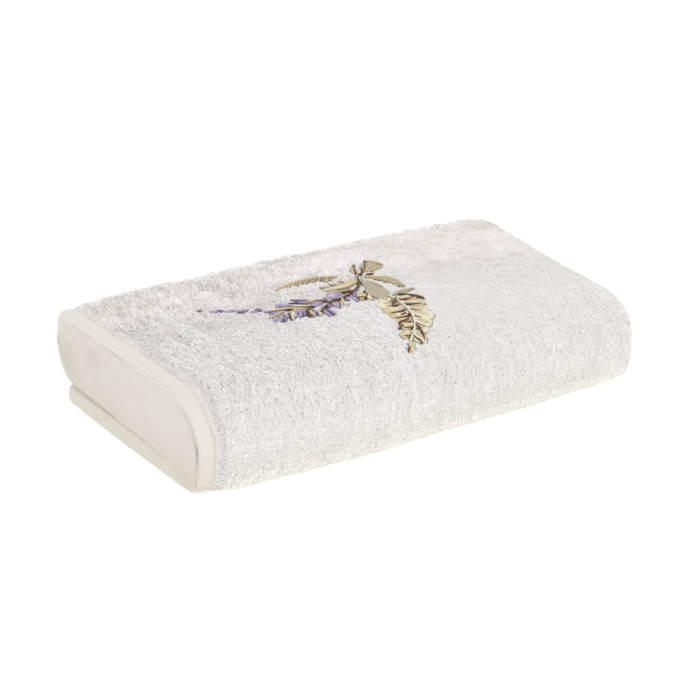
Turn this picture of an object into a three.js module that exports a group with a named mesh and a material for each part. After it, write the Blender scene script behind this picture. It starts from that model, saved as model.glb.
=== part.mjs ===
// A thick terry bath towel, folded into a flat pack.
// The cloth is folded in half across its width. The doubled cloth is then wrapped round itself:
// a flap on the floor, up the front, over the top, down the back, and on round the inside.
// Sizes are in millimetres. +Z is up, the pack lies on z = 0 and the origin is under its middle.
// +X runs from the open end, where the hems show, to the folded end. -Y is the front.
// Laid out flat, the cloth measures about 690 from hem to hem and 1400 the other way.

import * as THREE from "three";

// The hems: flat bands without pile, thinner than the cloth, with a short slope up to it
const hemWidth = 11;
const hemSlope = 2.5;
const hemThinness = 0.62;

// The pack, and its sides and height at places along it, which it passes smoothly between
const packLength = 350;
const packWidth = 212;
const packTable = [
  { x: -175, front: -95, back: 102, height: 65 },
  { x: -130, front: -102.5, back: 106, height: 64 },
  { x: -50, front: -106, back: 106, height: 62 },
  { x: 50, front: -103, back: 104, height: 60 },
  { x: 130, front: -101, back: 102, height: 58.5 },
  { x: 175, front: -96.5, back: 100, height: 56.5 },
];

// Shares of a ply's room in the stack: the cloth itself, half of it, and from the middle of the
// two plies of a layer to the outside of the outer one. The rest is the air between the plies.
const clothShare = 0.82;
const halfClothShare = clothShare / 2;
const outsideShare = 0.5 + halfClothShare;

// How finely the cloth is divided along the pack
const stepsAlongPack = 6;
const stepsRoundEndFold = 6;

const openEnd = -packLength / 2;
const foldedEnd = packLength / 2;
const halfWidth = packWidth / 2;

// Layers of doubled cloth in the order in which the towel runs through them, from the flap inwards.
// level: place in the stack, counted from the floor
// loft: how thick the layer is beside the tight inner ones
// inset: how far the hem stands back from the open end
// sway: how far the hem wanders in and out along the layer
// steps: how finely the layer is divided
const layerTable = [
  { level: 0, loft: 1.5, inset: 1.4, sway: 1.6, steps: 5 },
  { level: 7, loft: 1.2, inset: 1.2, sway: 0.5, steps: 6 },
  { level: 1, loft: 1.1, inset: 2.0, sway: 0.9, steps: 4 },
  { level: 6, loft: 1.0, inset: 3.6, sway: 1.2, steps: 3 },
  { level: 2, loft: 1.0, inset: 4.2, sway: 1.5, steps: 3 },
  { level: 5, loft: 1.0, inset: 5.4, sway: 1.2, steps: 3 },
  { level: 3, loft: 1.0, inset: 5.8, sway: 0.8, steps: 3 },
  { level: 4, loft: 1.0, inset: 6.2, sway: 0.8, steps: 3 },
];

// Turns that join one layer to the next, in the same order.
// side: -1 at the front, 1 at the back
// setback: from the side of the pack to the outside of the turn
// lowRound, topRound: how far the lower and the upper rounding reach across the pack, or 0 for
// a rounding that is as wide as it is high
// lowShare, upright: parts of the turn's height that the lower rounding and a straight rise take
// steps: how finely each rounding is divided
const turnTable = [
  { side: -1, setback: 0, lowRound: 11, topRound: 31, lowShare: 0.18, upright: 0.24, steps: 4 },
  { side: 1, setback: 0, lowRound: 25, topRound: 18, lowShare: 0.52, upright: 0, steps: 4 },
  { side: -1, setback: 12, lowRound: 13, topRound: 28, lowShare: 0.36, upright: 0, steps: 4 },
  { side: 1, setback: 20, lowRound: 16, topRound: 14, lowShare: 0.52, upright: 0, steps: 3 },
  { side: -1, setback: 22.5, lowRound: 11, topRound: 20, lowShare: 0.44, upright: 0, steps: 3 },
  { side: 1, setback: 31, lowRound: 8, topRound: 8, lowShare: 0.5, upright: 0, steps: 3 },
  { side: -1, setback: 37.5, lowRound: 0, topRound: 0, lowShare: 0.5, upright: 0, steps: 3 },
];

// Places across the pack of the two ends of the doubled cloth: under its back, and inside the roll.
const flapEnd = 87;
const innerEnd = 57;

// Soft swells and hollows of the top, which fade to nothing at the floor.
// x, y: middle; reachX, reachY: how far it spreads; rise: height, below zero for a hollow
const swellTable = [
  { x: -120, y: -38, reachX: 95, reachY: 62, rise: 3.4 },
  { x: 10, y: -30, reachX: 80, reachY: 70, rise: 1.6 },
  { x: -150, y: 92, reachX: 110, reachY: 40, rise: -1.4 },
  { x: -60, y: 45, reachX: 34, reachY: 50, rise: -1.2 },
  { x: 85, y: 20, reachX: 46, reachY: 60, rise: 1.2 },
  { x: 60, y: -80, reachX: 60, reachY: 34, rise: 0.8 },
  { x: 165, y: -30, reachX: 40, reachY: 120, rise: -2.4 },
];

// The corners of the pack, seen from above, are rounded by these amounts, and the folded end
// bellies out at half height.
const openCornerRound = 4;
const foldedCornerRound = 14;
const cornerSharpness = 9;
const foldedEndBelly = 6;
const bellySharpness = 3;

// The inner ply's hem stands back from the outer one's, and hems sway this fast from layer to layer.
const innerPlyInset = 1.8;
const swayTurn = 5;

function bell(distance, reach) {
  return Math.exp(-((distance / reach) ** 2));
}

// The pack's sides and height at a place along it.
function packAt(x) {
  const last = packTable.length - 1;
  const found = packTable.findIndex((entry) => entry.x > x);
  const next = found < 0 ? last : Math.max(found, 1);
  const [from, to] = [packTable[next - 1], packTable[next]];
  const share = THREE.MathUtils.smoothstep(x, from.x, to.x);
  const between = (name) => THREE.MathUtils.lerp(from[name], to[name], share);
  return { front: between("front"), back: between("back"), height: between("height") };
}

// Room that one ply of a tight inner layer takes in the stack, at a place along the pack.
function plyRoom(x) {
  const { height } = packAt(x);
  const lofts = layerTable.reduce((sum, layer) => sum + layer.loft, 0);
  const outerLofts = layerTable[0].loft + layerTable[1].loft;
  return height / (2 * lofts - outerLofts * (1 - outsideShare));
}

// Height of the middle of a layer.
function layerHeight(layer, x) {
  const below = layerTable.filter((other) => other.level < layer.level);
  const lofts = below.reduce((sum, other) => sum + 2 * other.loft, 0);
  const floorGap = layerTable[0].loft * (1 - outsideShare);
  return plyRoom(x) * (lofts + layer.loft - floorGap);
}

// The middle of the doubled cloth in one turn, from its lower layer to its upper one:
// a quarter ellipse, a straight rise and another quarter ellipse.
function turnPoints(turn, lowZ, topZ, loft, x) {
  const { front, back } = packAt(x);
  const edge = turn.side < 0 ? front : back;
  const reach = edge - turn.side * (turn.setback + loft * outsideShare * plyRoom(x));
  const lowRise = (topZ - lowZ) * turn.lowShare;
  const topRise = (topZ - lowZ) * (1 - turn.lowShare - turn.upright);
  const lowReach = turn.lowRound || lowRise;
  const topReach = turn.topRound || topRise;
  const angles = Array.from({ length: turn.steps + 1 }, (_, step) => (step / turn.steps) * (Math.PI / 2));
  const lower = angles.map((angle) => {
    const y = reach - turn.side * lowReach * (1 - Math.sin(angle));
    return new THREE.Vector2(y, lowZ + lowRise * (1 - Math.cos(angle)));
  });
  const upper = angles.map((angle) => {
    const y = reach - turn.side * topReach * (1 - Math.cos(angle));
    return new THREE.Vector2(y, topZ - topRise * (1 - Math.sin(angle)));
  });
  return turn.upright > 0 ? [...lower, ...upper] : [...lower, ...upper.slice(1)];
}

// Stations of the middle of the doubled cloth, cut across the pack at x, from the flap's end
// inwards. Each has its place (across, up), its layer and its loft.
function sectionStations(x) {
  const flap = layerTable[0];
  const start = new THREE.Vector2(flapEnd, layerHeight(flap, x));
  const stations = [{ place: start, layer: flap, loft: flap.loft }];
  turnTable.forEach((turn, index) => {
    const from = layerTable[index];
    const to = layerTable[index + 1];
    const heights = [layerHeight(from, x), layerHeight(to, x)];
    const loft = (from.loft + to.loft) / 2;
    const bend = turnPoints(turn, Math.min(...heights), Math.max(...heights), loft, x);
    if (heights[0] > heights[1]) {
      bend.reverse();
    }
    addStraight(stations, from, bend[0]);
    bend.slice(1).forEach((place, step) => {
      const share = (step + 1) / (bend.length - 1);
      const layer = share < 0.5 ? from : to;
      stations.push({ place, layer, loft: from.loft + (to.loft - from.loft) * share });
    });
  });
  const innermost = layerTable[layerTable.length - 1];
  addStraight(stations, innermost, new THREE.Vector2(innerEnd, layerHeight(innermost, x)));
  return stations;
}

// Adds evenly spaced stations of one layer up to a place.
function addStraight(stations, layer, end) {
  const start = stations[stations.length - 1].place;
  for (let step = 1; step <= layer.steps; step += 1) {
    stations.push({ place: start.clone().lerp(end, step / layer.steps), layer, loft: layer.loft });
  }
}

// Gives each station the unit normal of the path, towards the outside of the pack.
function withNormals(stations) {
  return stations.map((station, index) => {
    const before = stations[Math.max(index - 1, 0)].place;
    const after = stations[Math.min(index + 1, stations.length - 1)].place;
    const along = after.clone().sub(before).normalize();
    return { ...station, normal: new THREE.Vector2(-along.y, along.x) };
  });
}

// Sections worked out once for each place along the pack.
const knownSections = new Map();

function section(x) {
  const key = x.toFixed(2);
  if (!knownSections.has(key)) {
    knownSections.set(key, withNormals(sectionStations(x)));
  }
  return knownSections.get(key);
}

// How far the pack's corners draw in from an end, at a place across it.
function cornerDraw(y, amount) {
  return amount * Math.abs(y / halfWidth) ** cornerSharpness;
}

// A point of the cloth's middle surface with half the cloth's thickness there. The side is 1 on
// the outer ply, -1 on the inner one and between them round the fold at the end of the pack.
function clothPoint(index, x, side, past, thinness) {
  const { place, normal, loft } = section(x)[index];
  const room = loft * plyRoom(x);
  const point = new THREE.Vector3(x + past, place.x, place.y);
  point.y += (normal.x * side * room) / 2;
  point.z += (normal.y * side * room) / 2;
  point.z += swell(point);
  return { point, half: room * halfClothShare * thinness };
}

// The rise of the swells, in step with a point's height.
function swell(point) {
  const floorCloth = plyRoom(point.x) * layerTable[0].loft * clothShare;
  const share = Math.max(point.z - floorCloth, 0) / packAt(point.x).height;
  return swellTable.reduce((sum, { x, y, reachX, reachY, rise }) => {
    return sum + share * rise * bell(point.x - x, reachX) * bell(point.y - y, reachY);
  }, 0);
}

// One row of the cloth: along the outer ply from its hem, round the fold at the end of the pack,
// and back along the inner ply to the other hem.
function clothRow(index) {
  const { place, layer, loft } = section(0)[index];
  const wander = Math.sin((place.x / halfWidth) * Math.PI + swayTurn * layer.level);
  const hem = openEnd + layer.inset + layer.sway * (1 + wander) + cornerDraw(place.x, openCornerRound);
  const room = loft * plyRoom(foldedEnd);
  const fromMiddle = Math.abs((2 * place.y) / packAt(foldedEnd).height - 1);
  const belly = foldedEndBelly * fromMiddle ** bellySharpness;
  const turnCentre = foldedEnd - room * outsideShare - cornerDraw(place.x, foldedCornerRound) - belly;
  const ply = (side, hemX) => {
    const bodyX = hemX + hemWidth + hemSlope;
    const points = [
      clothPoint(index, hemX, side, 0, hemThinness),
      clothPoint(index, hemX + hemWidth, side, 0, hemThinness),
    ];
    for (let step = 0; step <= stepsAlongPack; step += 1) {
      const x = bodyX + (turnCentre - bodyX) * (step / stepsAlongPack);
      points.push(clothPoint(index, x, side, 0, 1));
    }
    return points;
  };
  const fold = [];
  for (let step = 1; step < stepsRoundEndFold; step += 1) {
    const angle = (step / stepsRoundEndFold) * Math.PI;
    const past = (Math.sin(angle) * loft * plyRoom(turnCentre)) / 2;
    fold.push(clothPoint(index, turnCentre, Math.cos(angle), past, 1));
  }
  return [...ply(1, hem), ...fold, ...ply(-1, hem + innerPlyInset).reverse()];
}

// Unit normals of a grid of points, from the differences across each one.
function gridNormals(grid) {
  return grid.map((row, i) =>
    row.map((_, j) => {
      const alongRow = row[Math.min(j + 1, row.length - 1)].point.clone();
      alongRow.sub(row[Math.max(j - 1, 0)].point);
      const acrossRows = grid[Math.min(i + 1, grid.length - 1)][j].point.clone();
      acrossRows.sub(grid[Math.max(i - 1, 0)][j].point);
      return alongRow.cross(acrossRows).normalize();
    }),
  );
}

// The places on a grid's border, in order, each once.
function gridBorder(rows, columns) {
  const border = [];
  for (let j = 0; j < columns - 1; j += 1) {
    border.push([0, j]);
  }
  for (let i = 0; i < rows - 1; i += 1) {
    border.push([i, columns - 1]);
  }
  for (let j = columns - 1; j > 0; j -= 1) {
    border.push([rows - 1, j]);
  }
  for (let i = rows - 1; i > 0; i -= 1) {
    border.push([i, 0]);
  }
  return border;
}

// A closed solid from the cloth's middle surface: two faces with a rounded edge all the way round.
function clothGeometry(grid) {
  const rows = grid.length;
  const columns = grid[0].length;
  const normals = gridNormals(grid);
  const positions = [];
  const indices = [];
  const faceVertex = (face, i, j) => face * rows * columns + i * columns + j;
  [1, -1].forEach((side) => {
    grid.forEach((row, i) => {
      row.forEach(({ point, half }, j) => {
        positions.push(...point.clone().addScaledVector(normals[i][j], side * half));
      });
    });
  });
  for (let i = 1; i < rows; i += 1) {
    for (let j = 1; j < columns; j += 1) {
      const corners = [[i - 1, j - 1], [i, j - 1], [i, j], [i - 1, j]];
      const [a, b, c, d] = corners.map((corner) => faceVertex(0, ...corner));
      const [e, f, g, h] = corners.map((corner) => faceVertex(1, ...corner));
      indices.push(c, b, a, d, c, a, e, f, g, e, g, h);
    }
  }
  const border = gridBorder(rows, columns);
  border.forEach(([i, j], index) => {
    const [nextI, nextJ] = border[(index + 1) % border.length];
    const rim = 2 * rows * columns + index;
    const nextRim = 2 * rows * columns + ((index + 1) % border.length);
    const { point, half } = grid[i][j];
    const inner = grid[Math.min(Math.max(i, 1), rows - 2)][Math.min(Math.max(j, 1), columns - 2)];
    const outward = point.clone().sub(inner.point).normalize();
    positions.push(...point.clone().addScaledVector(outward, half));
    const [a, b] = [faceVertex(0, i, j), faceVertex(0, nextI, nextJ)];
    const [c, d] = [faceVertex(1, i, j), faceVertex(1, nextI, nextJ)];
    indices.push(rim, nextRim, a, nextRim, b, a, c, d, rim, d, nextRim, rim);
  });
  const geometry = new THREE.BufferGeometry();
  geometry.setAttribute("position", new THREE.Float32BufferAttribute(positions, 3));
  geometry.setIndex(indices);
  geometry.computeVertexNormals();
  return geometry;
}

function makeTowel() {
  const grid = section(0).map((_, index) => clothRow(index));
  const terry = new THREE.MeshStandardMaterial({ color: 0xf3efe8, roughness: 1, metalness: 0 });
  const towel = new THREE.Mesh(clothGeometry(grid), terry);
  towel.name = "towel";
  return towel;
}

const group = new THREE.Group();
group.add(makeTowel());

export default group;
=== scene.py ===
"""A thick terry bath towel, folded into a flat pack, with a small stitched sprig on its top.

The doubled cloth is wrapped round itself: a flap on the floor, up the front, over the top, down
the back and on round the inside. The cloth is one closed sheet. Its pile stands on it as thousands
of small leaning tufts, and the sprig is raised satin stitch. Sizes are in millimetres until a mesh
is made.
"""

import logging
import math
from dataclasses import dataclass, field
from enum import Enum
from typing import Any, Union

import bpy
import numpy as np
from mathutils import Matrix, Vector


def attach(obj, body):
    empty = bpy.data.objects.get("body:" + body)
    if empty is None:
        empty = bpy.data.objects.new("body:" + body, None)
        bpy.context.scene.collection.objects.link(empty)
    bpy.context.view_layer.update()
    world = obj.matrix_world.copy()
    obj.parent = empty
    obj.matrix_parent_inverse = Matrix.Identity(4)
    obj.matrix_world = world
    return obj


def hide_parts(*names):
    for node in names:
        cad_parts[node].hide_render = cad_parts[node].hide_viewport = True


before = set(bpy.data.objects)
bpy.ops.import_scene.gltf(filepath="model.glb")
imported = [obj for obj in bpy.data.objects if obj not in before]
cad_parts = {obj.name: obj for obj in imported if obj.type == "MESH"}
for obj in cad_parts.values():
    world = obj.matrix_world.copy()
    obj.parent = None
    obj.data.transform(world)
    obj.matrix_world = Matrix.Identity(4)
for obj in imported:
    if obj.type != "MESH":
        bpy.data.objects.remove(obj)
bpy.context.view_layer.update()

MM = 0.001
BODY = "root"
Array = np.ndarray
# Two numbers, such as the least and the most of something, or where a smooth step begins and ends.
Pair = tuple[float, float]
Colour = tuple[float, float, float, float]
Piece = bpy.types.Object
Material = bpy.types.Material
Random = np.random.Generator
Value = Union[float, tuple, "Socket"]

log = logging.getLogger("towel")


# Numbers that vary from place to place, the same in each run


def hashed(column: Array, row: Array, seed: int) -> Array:
    """Give each pair of whole numbers a fixed random number from 0 to 1.

    Args:
        column: Whole numbers.
        row: Whole numbers of the same shape.
        seed: Picks one set of random numbers.

    Returns:
        The numbers, mixed from the pair by multiplying, shifting and xor.
    """
    mask = 0xFFFFFFFF
    mixed = (column.astype(np.int64) * 374761393 + row.astype(np.int64) * 668265263) & mask
    mixed = (mixed + seed * 1274126177) & mask
    mixed = ((mixed ^ (mixed >> 13)) * 1103515245) & mask
    mixed = ((mixed ^ (mixed >> 15)) * 12345677) & mask
    return ((mixed ^ (mixed >> 16)) & 0xFFFFFF) / 0xFFFFFF


def smooth(value: Array, low: float, high: float) -> Array:
    """Rise from 0 at low to 1 at high along a smooth step, 3t^2 - 2t^3."""
    share = np.clip((value - low) / (high - low), 0.0, 1.0)
    return share * share * (3.0 - 2.0 * share)


def grow(least: float, value: Array, low: float, high: float) -> Array:
    """Rise from least at low to 1 at high along a smooth step."""
    return least + (1 - least) * smooth(value, low, high)


def noise(u: Array, v: Array, size: float, seed: int) -> Array:
    """Soft noise from -1 to 1 on a plane.

    Args:
        u: Places along the plane's first side.
        v: Places along its second side.
        size: Distance between the random values.
        seed: Picks one set of random values.

    Returns:
        The random values at a square lattice's points, blended by a smooth step on each side.
    """
    column, row = np.floor(u / size), np.floor(v / size)
    across, along = smooth(u / size - column, 0, 1), smooth(v / size - row, 0, 1)
    near = hashed(column, row, seed) * (1 - across) + hashed(column + 1, row, seed) * across
    far = hashed(column, row + 1, seed) * (1 - across) + hashed(column + 1, row + 1, seed) * across
    return 2 * (near * (1 - along) + far * along) - 1


@dataclass(frozen=True)
class Uneven:
    """Soft noise over a surface, which may be drawn out along the surface's second side."""

    amount: float
    size: float
    seed: int
    stretch: float = 1.0

    def at(self, u: Array, v: Array) -> Array:
        """The noise at places on the surface, from -amount to amount."""
        return self.amount * noise(u, v / self.stretch, self.size, self.seed)


def clumps(u: Array, v: Array, pitch_u: float, pitch_v: float, seed: int) -> tuple[Array, Array, Array]:
    """Find the nearest of a plane's scattered clumps.

    Args:
        u: Places along the plane's first side.
        v: Places along its second side.
        pitch_u: Distance between clumps along the first side.
        pitch_v: Distance between them along the second side.
        seed: Picks one scatter.

    Returns:
        The way to the nearest clump in u and in v, and how near the border to the next clump is:
        0 on it and 1 at a clump's middle. Each clump is a random point of one cell of a lattice.
    """
    column, row = np.floor(u / pitch_u), np.floor(v / pitch_v)
    best = np.full(u.shape, np.inf)
    second = np.full(u.shape, np.inf)
    way_u, way_v = np.zeros(u.shape), np.zeros(u.shape)
    for step_u in (-1, 0, 1):
        for step_v in (-1, 0, 1):
            c, r = column + step_u, row + step_v
            to_u = (c + hashed(c, r, seed)) * pitch_u - u
            to_v = (r + hashed(c, r, seed + 1)) * pitch_v - v
            far = np.hypot(to_u / pitch_u, to_v / pitch_v)
            nearer = far < best
            second = np.where(nearer, best, np.minimum(second, far))
            way_u, way_v = np.where(nearer, to_u, way_u), np.where(nearer, to_v, way_v)
            best = np.where(nearer, far, best)
    return way_u, way_v, np.clip((second - best) / np.maximum(second, 1e-6), 0, 1)


def unit(vectors: Array) -> Array:
    """Scale vectors on the last axis to a length of 1."""
    return vectors / np.maximum(np.linalg.norm(vectors, axis=-1, keepdims=True), 1e-12)


# Meshes


def new_piece(
    name: str, points: Array, faces: Array, uv: Array, material: Material, is_smooth: bool = True
) -> Piece:
    """Make an object from whole arrays.

    Args:
        name: The piece's name.
        points: Its points, one row of x, y and z each, in millimetres.
        faces: Its faces, one row of point numbers each, all with the same number of corners.
        uv: One row of u and v for each point.
        material: What it wears.
        is_smooth: Whether its faces are shaded as one smooth surface.

    Returns:
        The object, at the origin, with its place in its mesh.
    """
    mesh = bpy.data.meshes.new(name)
    corners = faces.shape[1]
    mesh.vertices.add(len(points))
    mesh.vertices.foreach_set("co", (points * MM).astype(np.float32).ravel())
    mesh.loops.add(faces.size)
    mesh.loops.foreach_set("vertex_index", faces.astype(np.int32).ravel())
    mesh.polygons.add(len(faces))
    mesh.polygons.foreach_set("loop_start", np.arange(0, faces.size, corners, dtype=np.int32))
    mesh.polygons.foreach_set("use_smooth", np.full(len(faces), is_smooth))
    mesh.update(calc_edges=True)
    layer = mesh.uv_layers.new(name="cloth")
    layer.uv.foreach_set("vector", uv[faces.ravel()].astype(np.float32).ravel())
    mesh.materials.append(material)
    piece = bpy.data.objects.new(name, mesh)
    bpy.context.scene.collection.objects.link(piece)
    return piece


def paint(piece: Piece, name: str, values: Array) -> None:
    """Store one number for each point of a piece, which its material reads by name."""
    attribute = piece.data.attributes.new(name, "FLOAT", "POINT")
    attribute.data.foreach_set("value", values.astype(np.float32).ravel())


def grid_faces(numbers: Array) -> Array:
    """Join a grid of point numbers into four-cornered faces, one for each cell."""
    corners = [numbers[:-1, :-1], numbers[1:, :-1], numbers[1:, 1:], numbers[:-1, 1:]]
    return np.stack(corners, -1).reshape(-1, 4)


# The cloth's course through the pack


@dataclass(frozen=True)
class PackStation:
    """The pack's sides and height at one place along it."""

    x: float
    front: float
    back: float
    height: float


@dataclass(frozen=True)
class Layer:
    """One layer of doubled cloth.

    level is its place in the stack, loft its thickness beside the tight inner ones, inset how far
    its hem stands back from the open end and sway how far that hem wanders.
    """

    level: int
    loft: float
    inset: float
    sway: float = 0


@dataclass(frozen=True)
class Turn:
    """A bend that joins one layer to the next.

    side is -1 at the front and 1 at the back, setback the distance from the pack's side to the
    bend's outside. low_round and top_round are how far its roundings reach across, or 0 where one
    is as wide as high. low_share and upright are the parts of its height of the lower rounding
    and of a straight rise.
    """

    side: int
    setback: float
    low_round: float
    top_round: float
    low_share: float
    upright: float = 0


@dataclass(frozen=True)
class Swell:
    """A soft rise of a surface, or a hollow where rise is below zero."""

    x: float
    y: float
    reach_x: float
    reach_y: float
    rise: float

    def bell(self, x: Array, y: Array) -> Array:
        """The rise at places on the surface."""
        return self.rise * np.exp(-(((x - self.x) / self.reach_x) ** 2) - ((y - self.y) / self.reach_y) ** 2)


@dataclass(frozen=True)
class Course:
    """The stations of the doubled cloth's path, from the flap inwards, one row of numbers each.

    At a place x along the pack, a station is this far across and up:
        across = front_part * front(x) + back_part * back(x) + fixed + room_part * room(x)
        up = up_part * room(x)
    where front, back and room are the pack's sides and the room of one ply there.
    """

    front_part: Array
    back_part: Array
    fixed: Array
    room_part: Array
    up_part: Array
    loft: Array
    layer: Array
    turn: Array

    def shifted(self, step: int) -> "Course":
        """The course with each station replaced by the one that is step places further on."""
        last = len(self.loft) - 1
        pick = np.clip(np.arange(last + 1) + step, 0, last)
        return Course(*(getattr(self, name)[pick] for name in self.__dataclass_fields__))


@dataclass
class FoldedCloth:
    """One length of terry, folded in half between its hems and wrapped into a pack.

    hem_columns are the grid's columns across a hem, by their distance from its edge.
    """

    length: float = 350
    width: float = 212
    hem_width: float = 11
    hem_thinness: float = 0.62
    flap_fullness: float = 0.98
    flap_slant: float = 2.2
    flap_slant_span: Pair = (-85, 30)
    flap_corner_round: float = 6
    flap_corner_depth: float = 4.8
    flap_swell: Pair = (1.5, 2.9)
    flap_swell_span: Pair = (-70, 70)
    flap_steps: tuple[float, ...] = (0.3, 0.9, 2, 3.4)
    front_span: Pair = (-20, 50)
    cloth_share: float = 0.82
    pressed_share: float = 1.04
    inner_ply_inset: float = 1.8
    face_room: float = 7
    hem_columns: tuple[float, ...] = (
        0, 0.01, 0.05, 0.2, 0.5, 1, 1.8, 3.2, 5.5, 8, 9.6, 10.4, 11, 11.6, 12.5, 13.6,
    )
    tip: float = 1.1
    sway_turn: float = 5
    open_corner_round: float = 4
    folded_corner_round: float = 14
    corner_sharpness: float = 9
    folded_end_belly: float = 6
    belly_sharpness: float = 3
    flap_end: float = 79
    inner_end: float = 76
    edge_round: float = 1.7
    flap_hem_round: float = 2.6
    flap_round: float = 5
    pressed_edge_round: float = 0.2
    body_columns: int = 62
    fold_columns: int = 12
    inner_columns: int = 24
    straight_step: float = 5
    inner_step: float = 11
    fewest_steps: int = 4
    turn_steps: int = 9
    pile_starts: Pair = (1.5, 8)
    pile_fades: float = 22
    # Each row: x, front, back, height
    pack: tuple[PackStation, ...] = (
        PackStation(-175, -95, 102, 65),
        PackStation(-130, -102.5, 106, 64),
        PackStation(-50, -106, 106, 62),
        PackStation(50, -103, 104, 60),
        PackStation(130, -101, 102, 58.5),
        PackStation(175, -96.5, 100, 56.5),
    )
    layers: tuple[Layer, ...] = (
        Layer(level=0, loft=1.5, inset=2.4),
        Layer(level=7, loft=1.2, inset=2.2, sway=0.8),
        Layer(level=1, loft=1.1, inset=3.4),
        *(Layer(level, loft=1, inset=4.2) for level in (6, 2, 5, 3, 4)),
    )
    # Each row: side, setback, low_round, top_round, low_share, upright
    turns: tuple[Turn, ...] = (
        Turn(-1, 0, 11, 31, 0.18, 0.24),
        Turn(1, 0, 25, 18, 0.52),
        Turn(-1, 10, 4, 25, 0.36),
        Turn(1, 8.7, 17.5, 10, 0.53),
        Turn(-1, 17.6, 3, 18, 0.2),
        Turn(1, 16.2, 10, 3, 0.55),
        Turn(-1, 26.3, 2.5, 12.5, 0.16),
    )
    # Each row: x, y, reach_x, reach_y, rise
    swells: tuple[Swell, ...] = (
        Swell(-120, -38, 95, 62, 3.4),
        Swell(10, -30, 80, 70, 1.6),
        Swell(-150, 92, 110, 40, -1.4),
        Swell(-60, 45, 34, 50, -1.2),
        Swell(85, 20, 46, 60, 1.2),
        Swell(60, -80, 60, 34, 0.8),
        Swell(165, -30, 40, 120, -2.4),
    )

    def __post_init__(self) -> None:
        """Work out the grid of the cloth once."""
        self.outside_share = 0.5 + self.cloth_share / 2
        self.course = self._course()
        self._lay_grid()

    def sides(self, x: Array) -> tuple[Array, Array, Array]:
        """Blend the pack's stations by a smooth step.

        Args:
            x: Places along the pack.

        Returns:
            Its front, its back and its height there.
        """
        places = np.array([station.x for station in self.pack])
        after = np.clip(np.searchsorted(places, x, side="right"), 1, len(places) - 1)
        share = smooth((x - places[after - 1]) / (places[after] - places[after - 1]), 0, 1)
        found = []
        for name in ("front", "back", "height"):
            values = np.array([getattr(station, name) for station in self.pack])
            found.append(values[after - 1] * (1 - share) + values[after] * share)
        return found[0], found[1], found[2]

    def room(self, x: Array) -> Array:
        """The room of one ply of a tight inner layer in the stack, at places along the pack."""
        lofts = sum(layer.loft for layer in self.layers)
        outer = self.layers[0].loft + self.layers[1].loft
        return self.sides(x)[2] / (2 * lofts - outer * (1 - self.outside_share))

    def _level_part(self, layer: Layer) -> float:
        """The height of a layer's middle, in rooms of one ply."""
        below = sum(2 * other.loft for other in self.layers if other.level < layer.level)
        return below + layer.loft - self.layers[0].loft * (1 - self.outside_share)

    def _bend(self, number: int) -> Array:
        """Bend the cloth round one turn.

        The bend is a quarter ellipse, a straight rise and another quarter ellipse, between the
        heights of the two layers that it joins.

        Args:
            number: The turn's number, which is also that of the layer before it.

        Returns:
            Its stations, as rows of a Course's numbers.
        """
        turn, low, top = self.turns[number], self.layers[number], self.layers[number + 1]
        falling = self._level_part(low) > self._level_part(top)
        first, last = low, top
        if falling:
            low, top = top, low
        low_up, top_up = self._level_part(low), self._level_part(top)
        low_rise = (top_up - low_up) * turn.low_share
        top_rise = (top_up - low_up) * (1 - turn.low_share - turn.upright)
        angle = np.linspace(0, math.pi / 2, self.turn_steps + 1)
        drawn = np.concatenate([1 - np.sin(angle), 1 - np.cos(angle)])
        is_low = np.arange(len(drawn)) <= self.turn_steps
        reach = np.where(is_low, turn.low_round, turn.top_round)
        reach_in_rooms = np.where(is_low, low_rise, top_rise) * (reach == 0)
        low_part, top_part = low_rise * (1 - np.cos(angle)), top_rise * (1 - np.sin(angle))
        up = np.concatenate([low_up + low_part, top_up - top_part])
        loft = (low.loft + top.loft) / 2
        ones = np.ones(len(drawn))
        rows = np.stack([
            ones * (turn.side < 0),
            ones * (turn.side > 0),
            -turn.side * (turn.setback + reach * drawn),
            -turn.side * (loft * self.outside_share + reach_in_rooms * drawn),
            up,
        ], -1)
        if turn.upright == 0:
            rows = np.delete(rows, self.turn_steps + 1, axis=0)
        if falling:
            rows = rows[::-1]
        share = np.linspace(0, 1, len(rows))
        lofts = first.loft + (last.loft - first.loft) * share
        layer = np.where(share < 0.5, number, number + 1)
        return np.column_stack([rows, lofts, layer, np.full(len(rows), number)])

    def _course(self) -> Course:
        """Join the flap, the turns and the straight stretches between them into one course."""
        flap = self.layers[0]
        rows = [np.array([[0, 0, self.flap_end, 0, self._level_part(flap), flap.loft, 0, -1]], float)]
        for number in range(len(self.turns)):
            bend = self._bend(number)
            rows.append(self._straight(rows[-1][-1], bend[0], number))
            rows.append(bend[1:])
        last = len(self.layers) - 1
        inner = self.layers[last]
        end = np.array([0, 0, self.inner_end, 0, self._level_part(inner), inner.loft, last, -1], float)
        rows.append(self._straight(rows[-1][-1], end, last))
        return Course(*np.concatenate(rows).T)

    def _straight(self, start: Array, end: Array, layer: int) -> Array:
        """Lay stations evenly along one layer.

        Args:
            start: The station before them.
            end: The last of them.
            layer: The layer's number.

        Returns:
            The stations, as rows of a Course's numbers.
        """
        span = self.width - self.turns[min(layer, len(self.turns) - 1)].setback
        step = self.straight_step if layer < 2 else self.inner_step
        count = max(int(span / step), self.fewest_steps)
        shares = np.arange(1, count + 1) / count
        if layer == 0:
            shares = np.concatenate([np.array(self.flap_steps) / span, shares])
        rows = start + (end - start) * shares[:, None]
        rows[:, 5] = self.layers[layer].loft
        rows[:, 6] = layer
        rows[:, 7] = -1
        return rows

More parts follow.
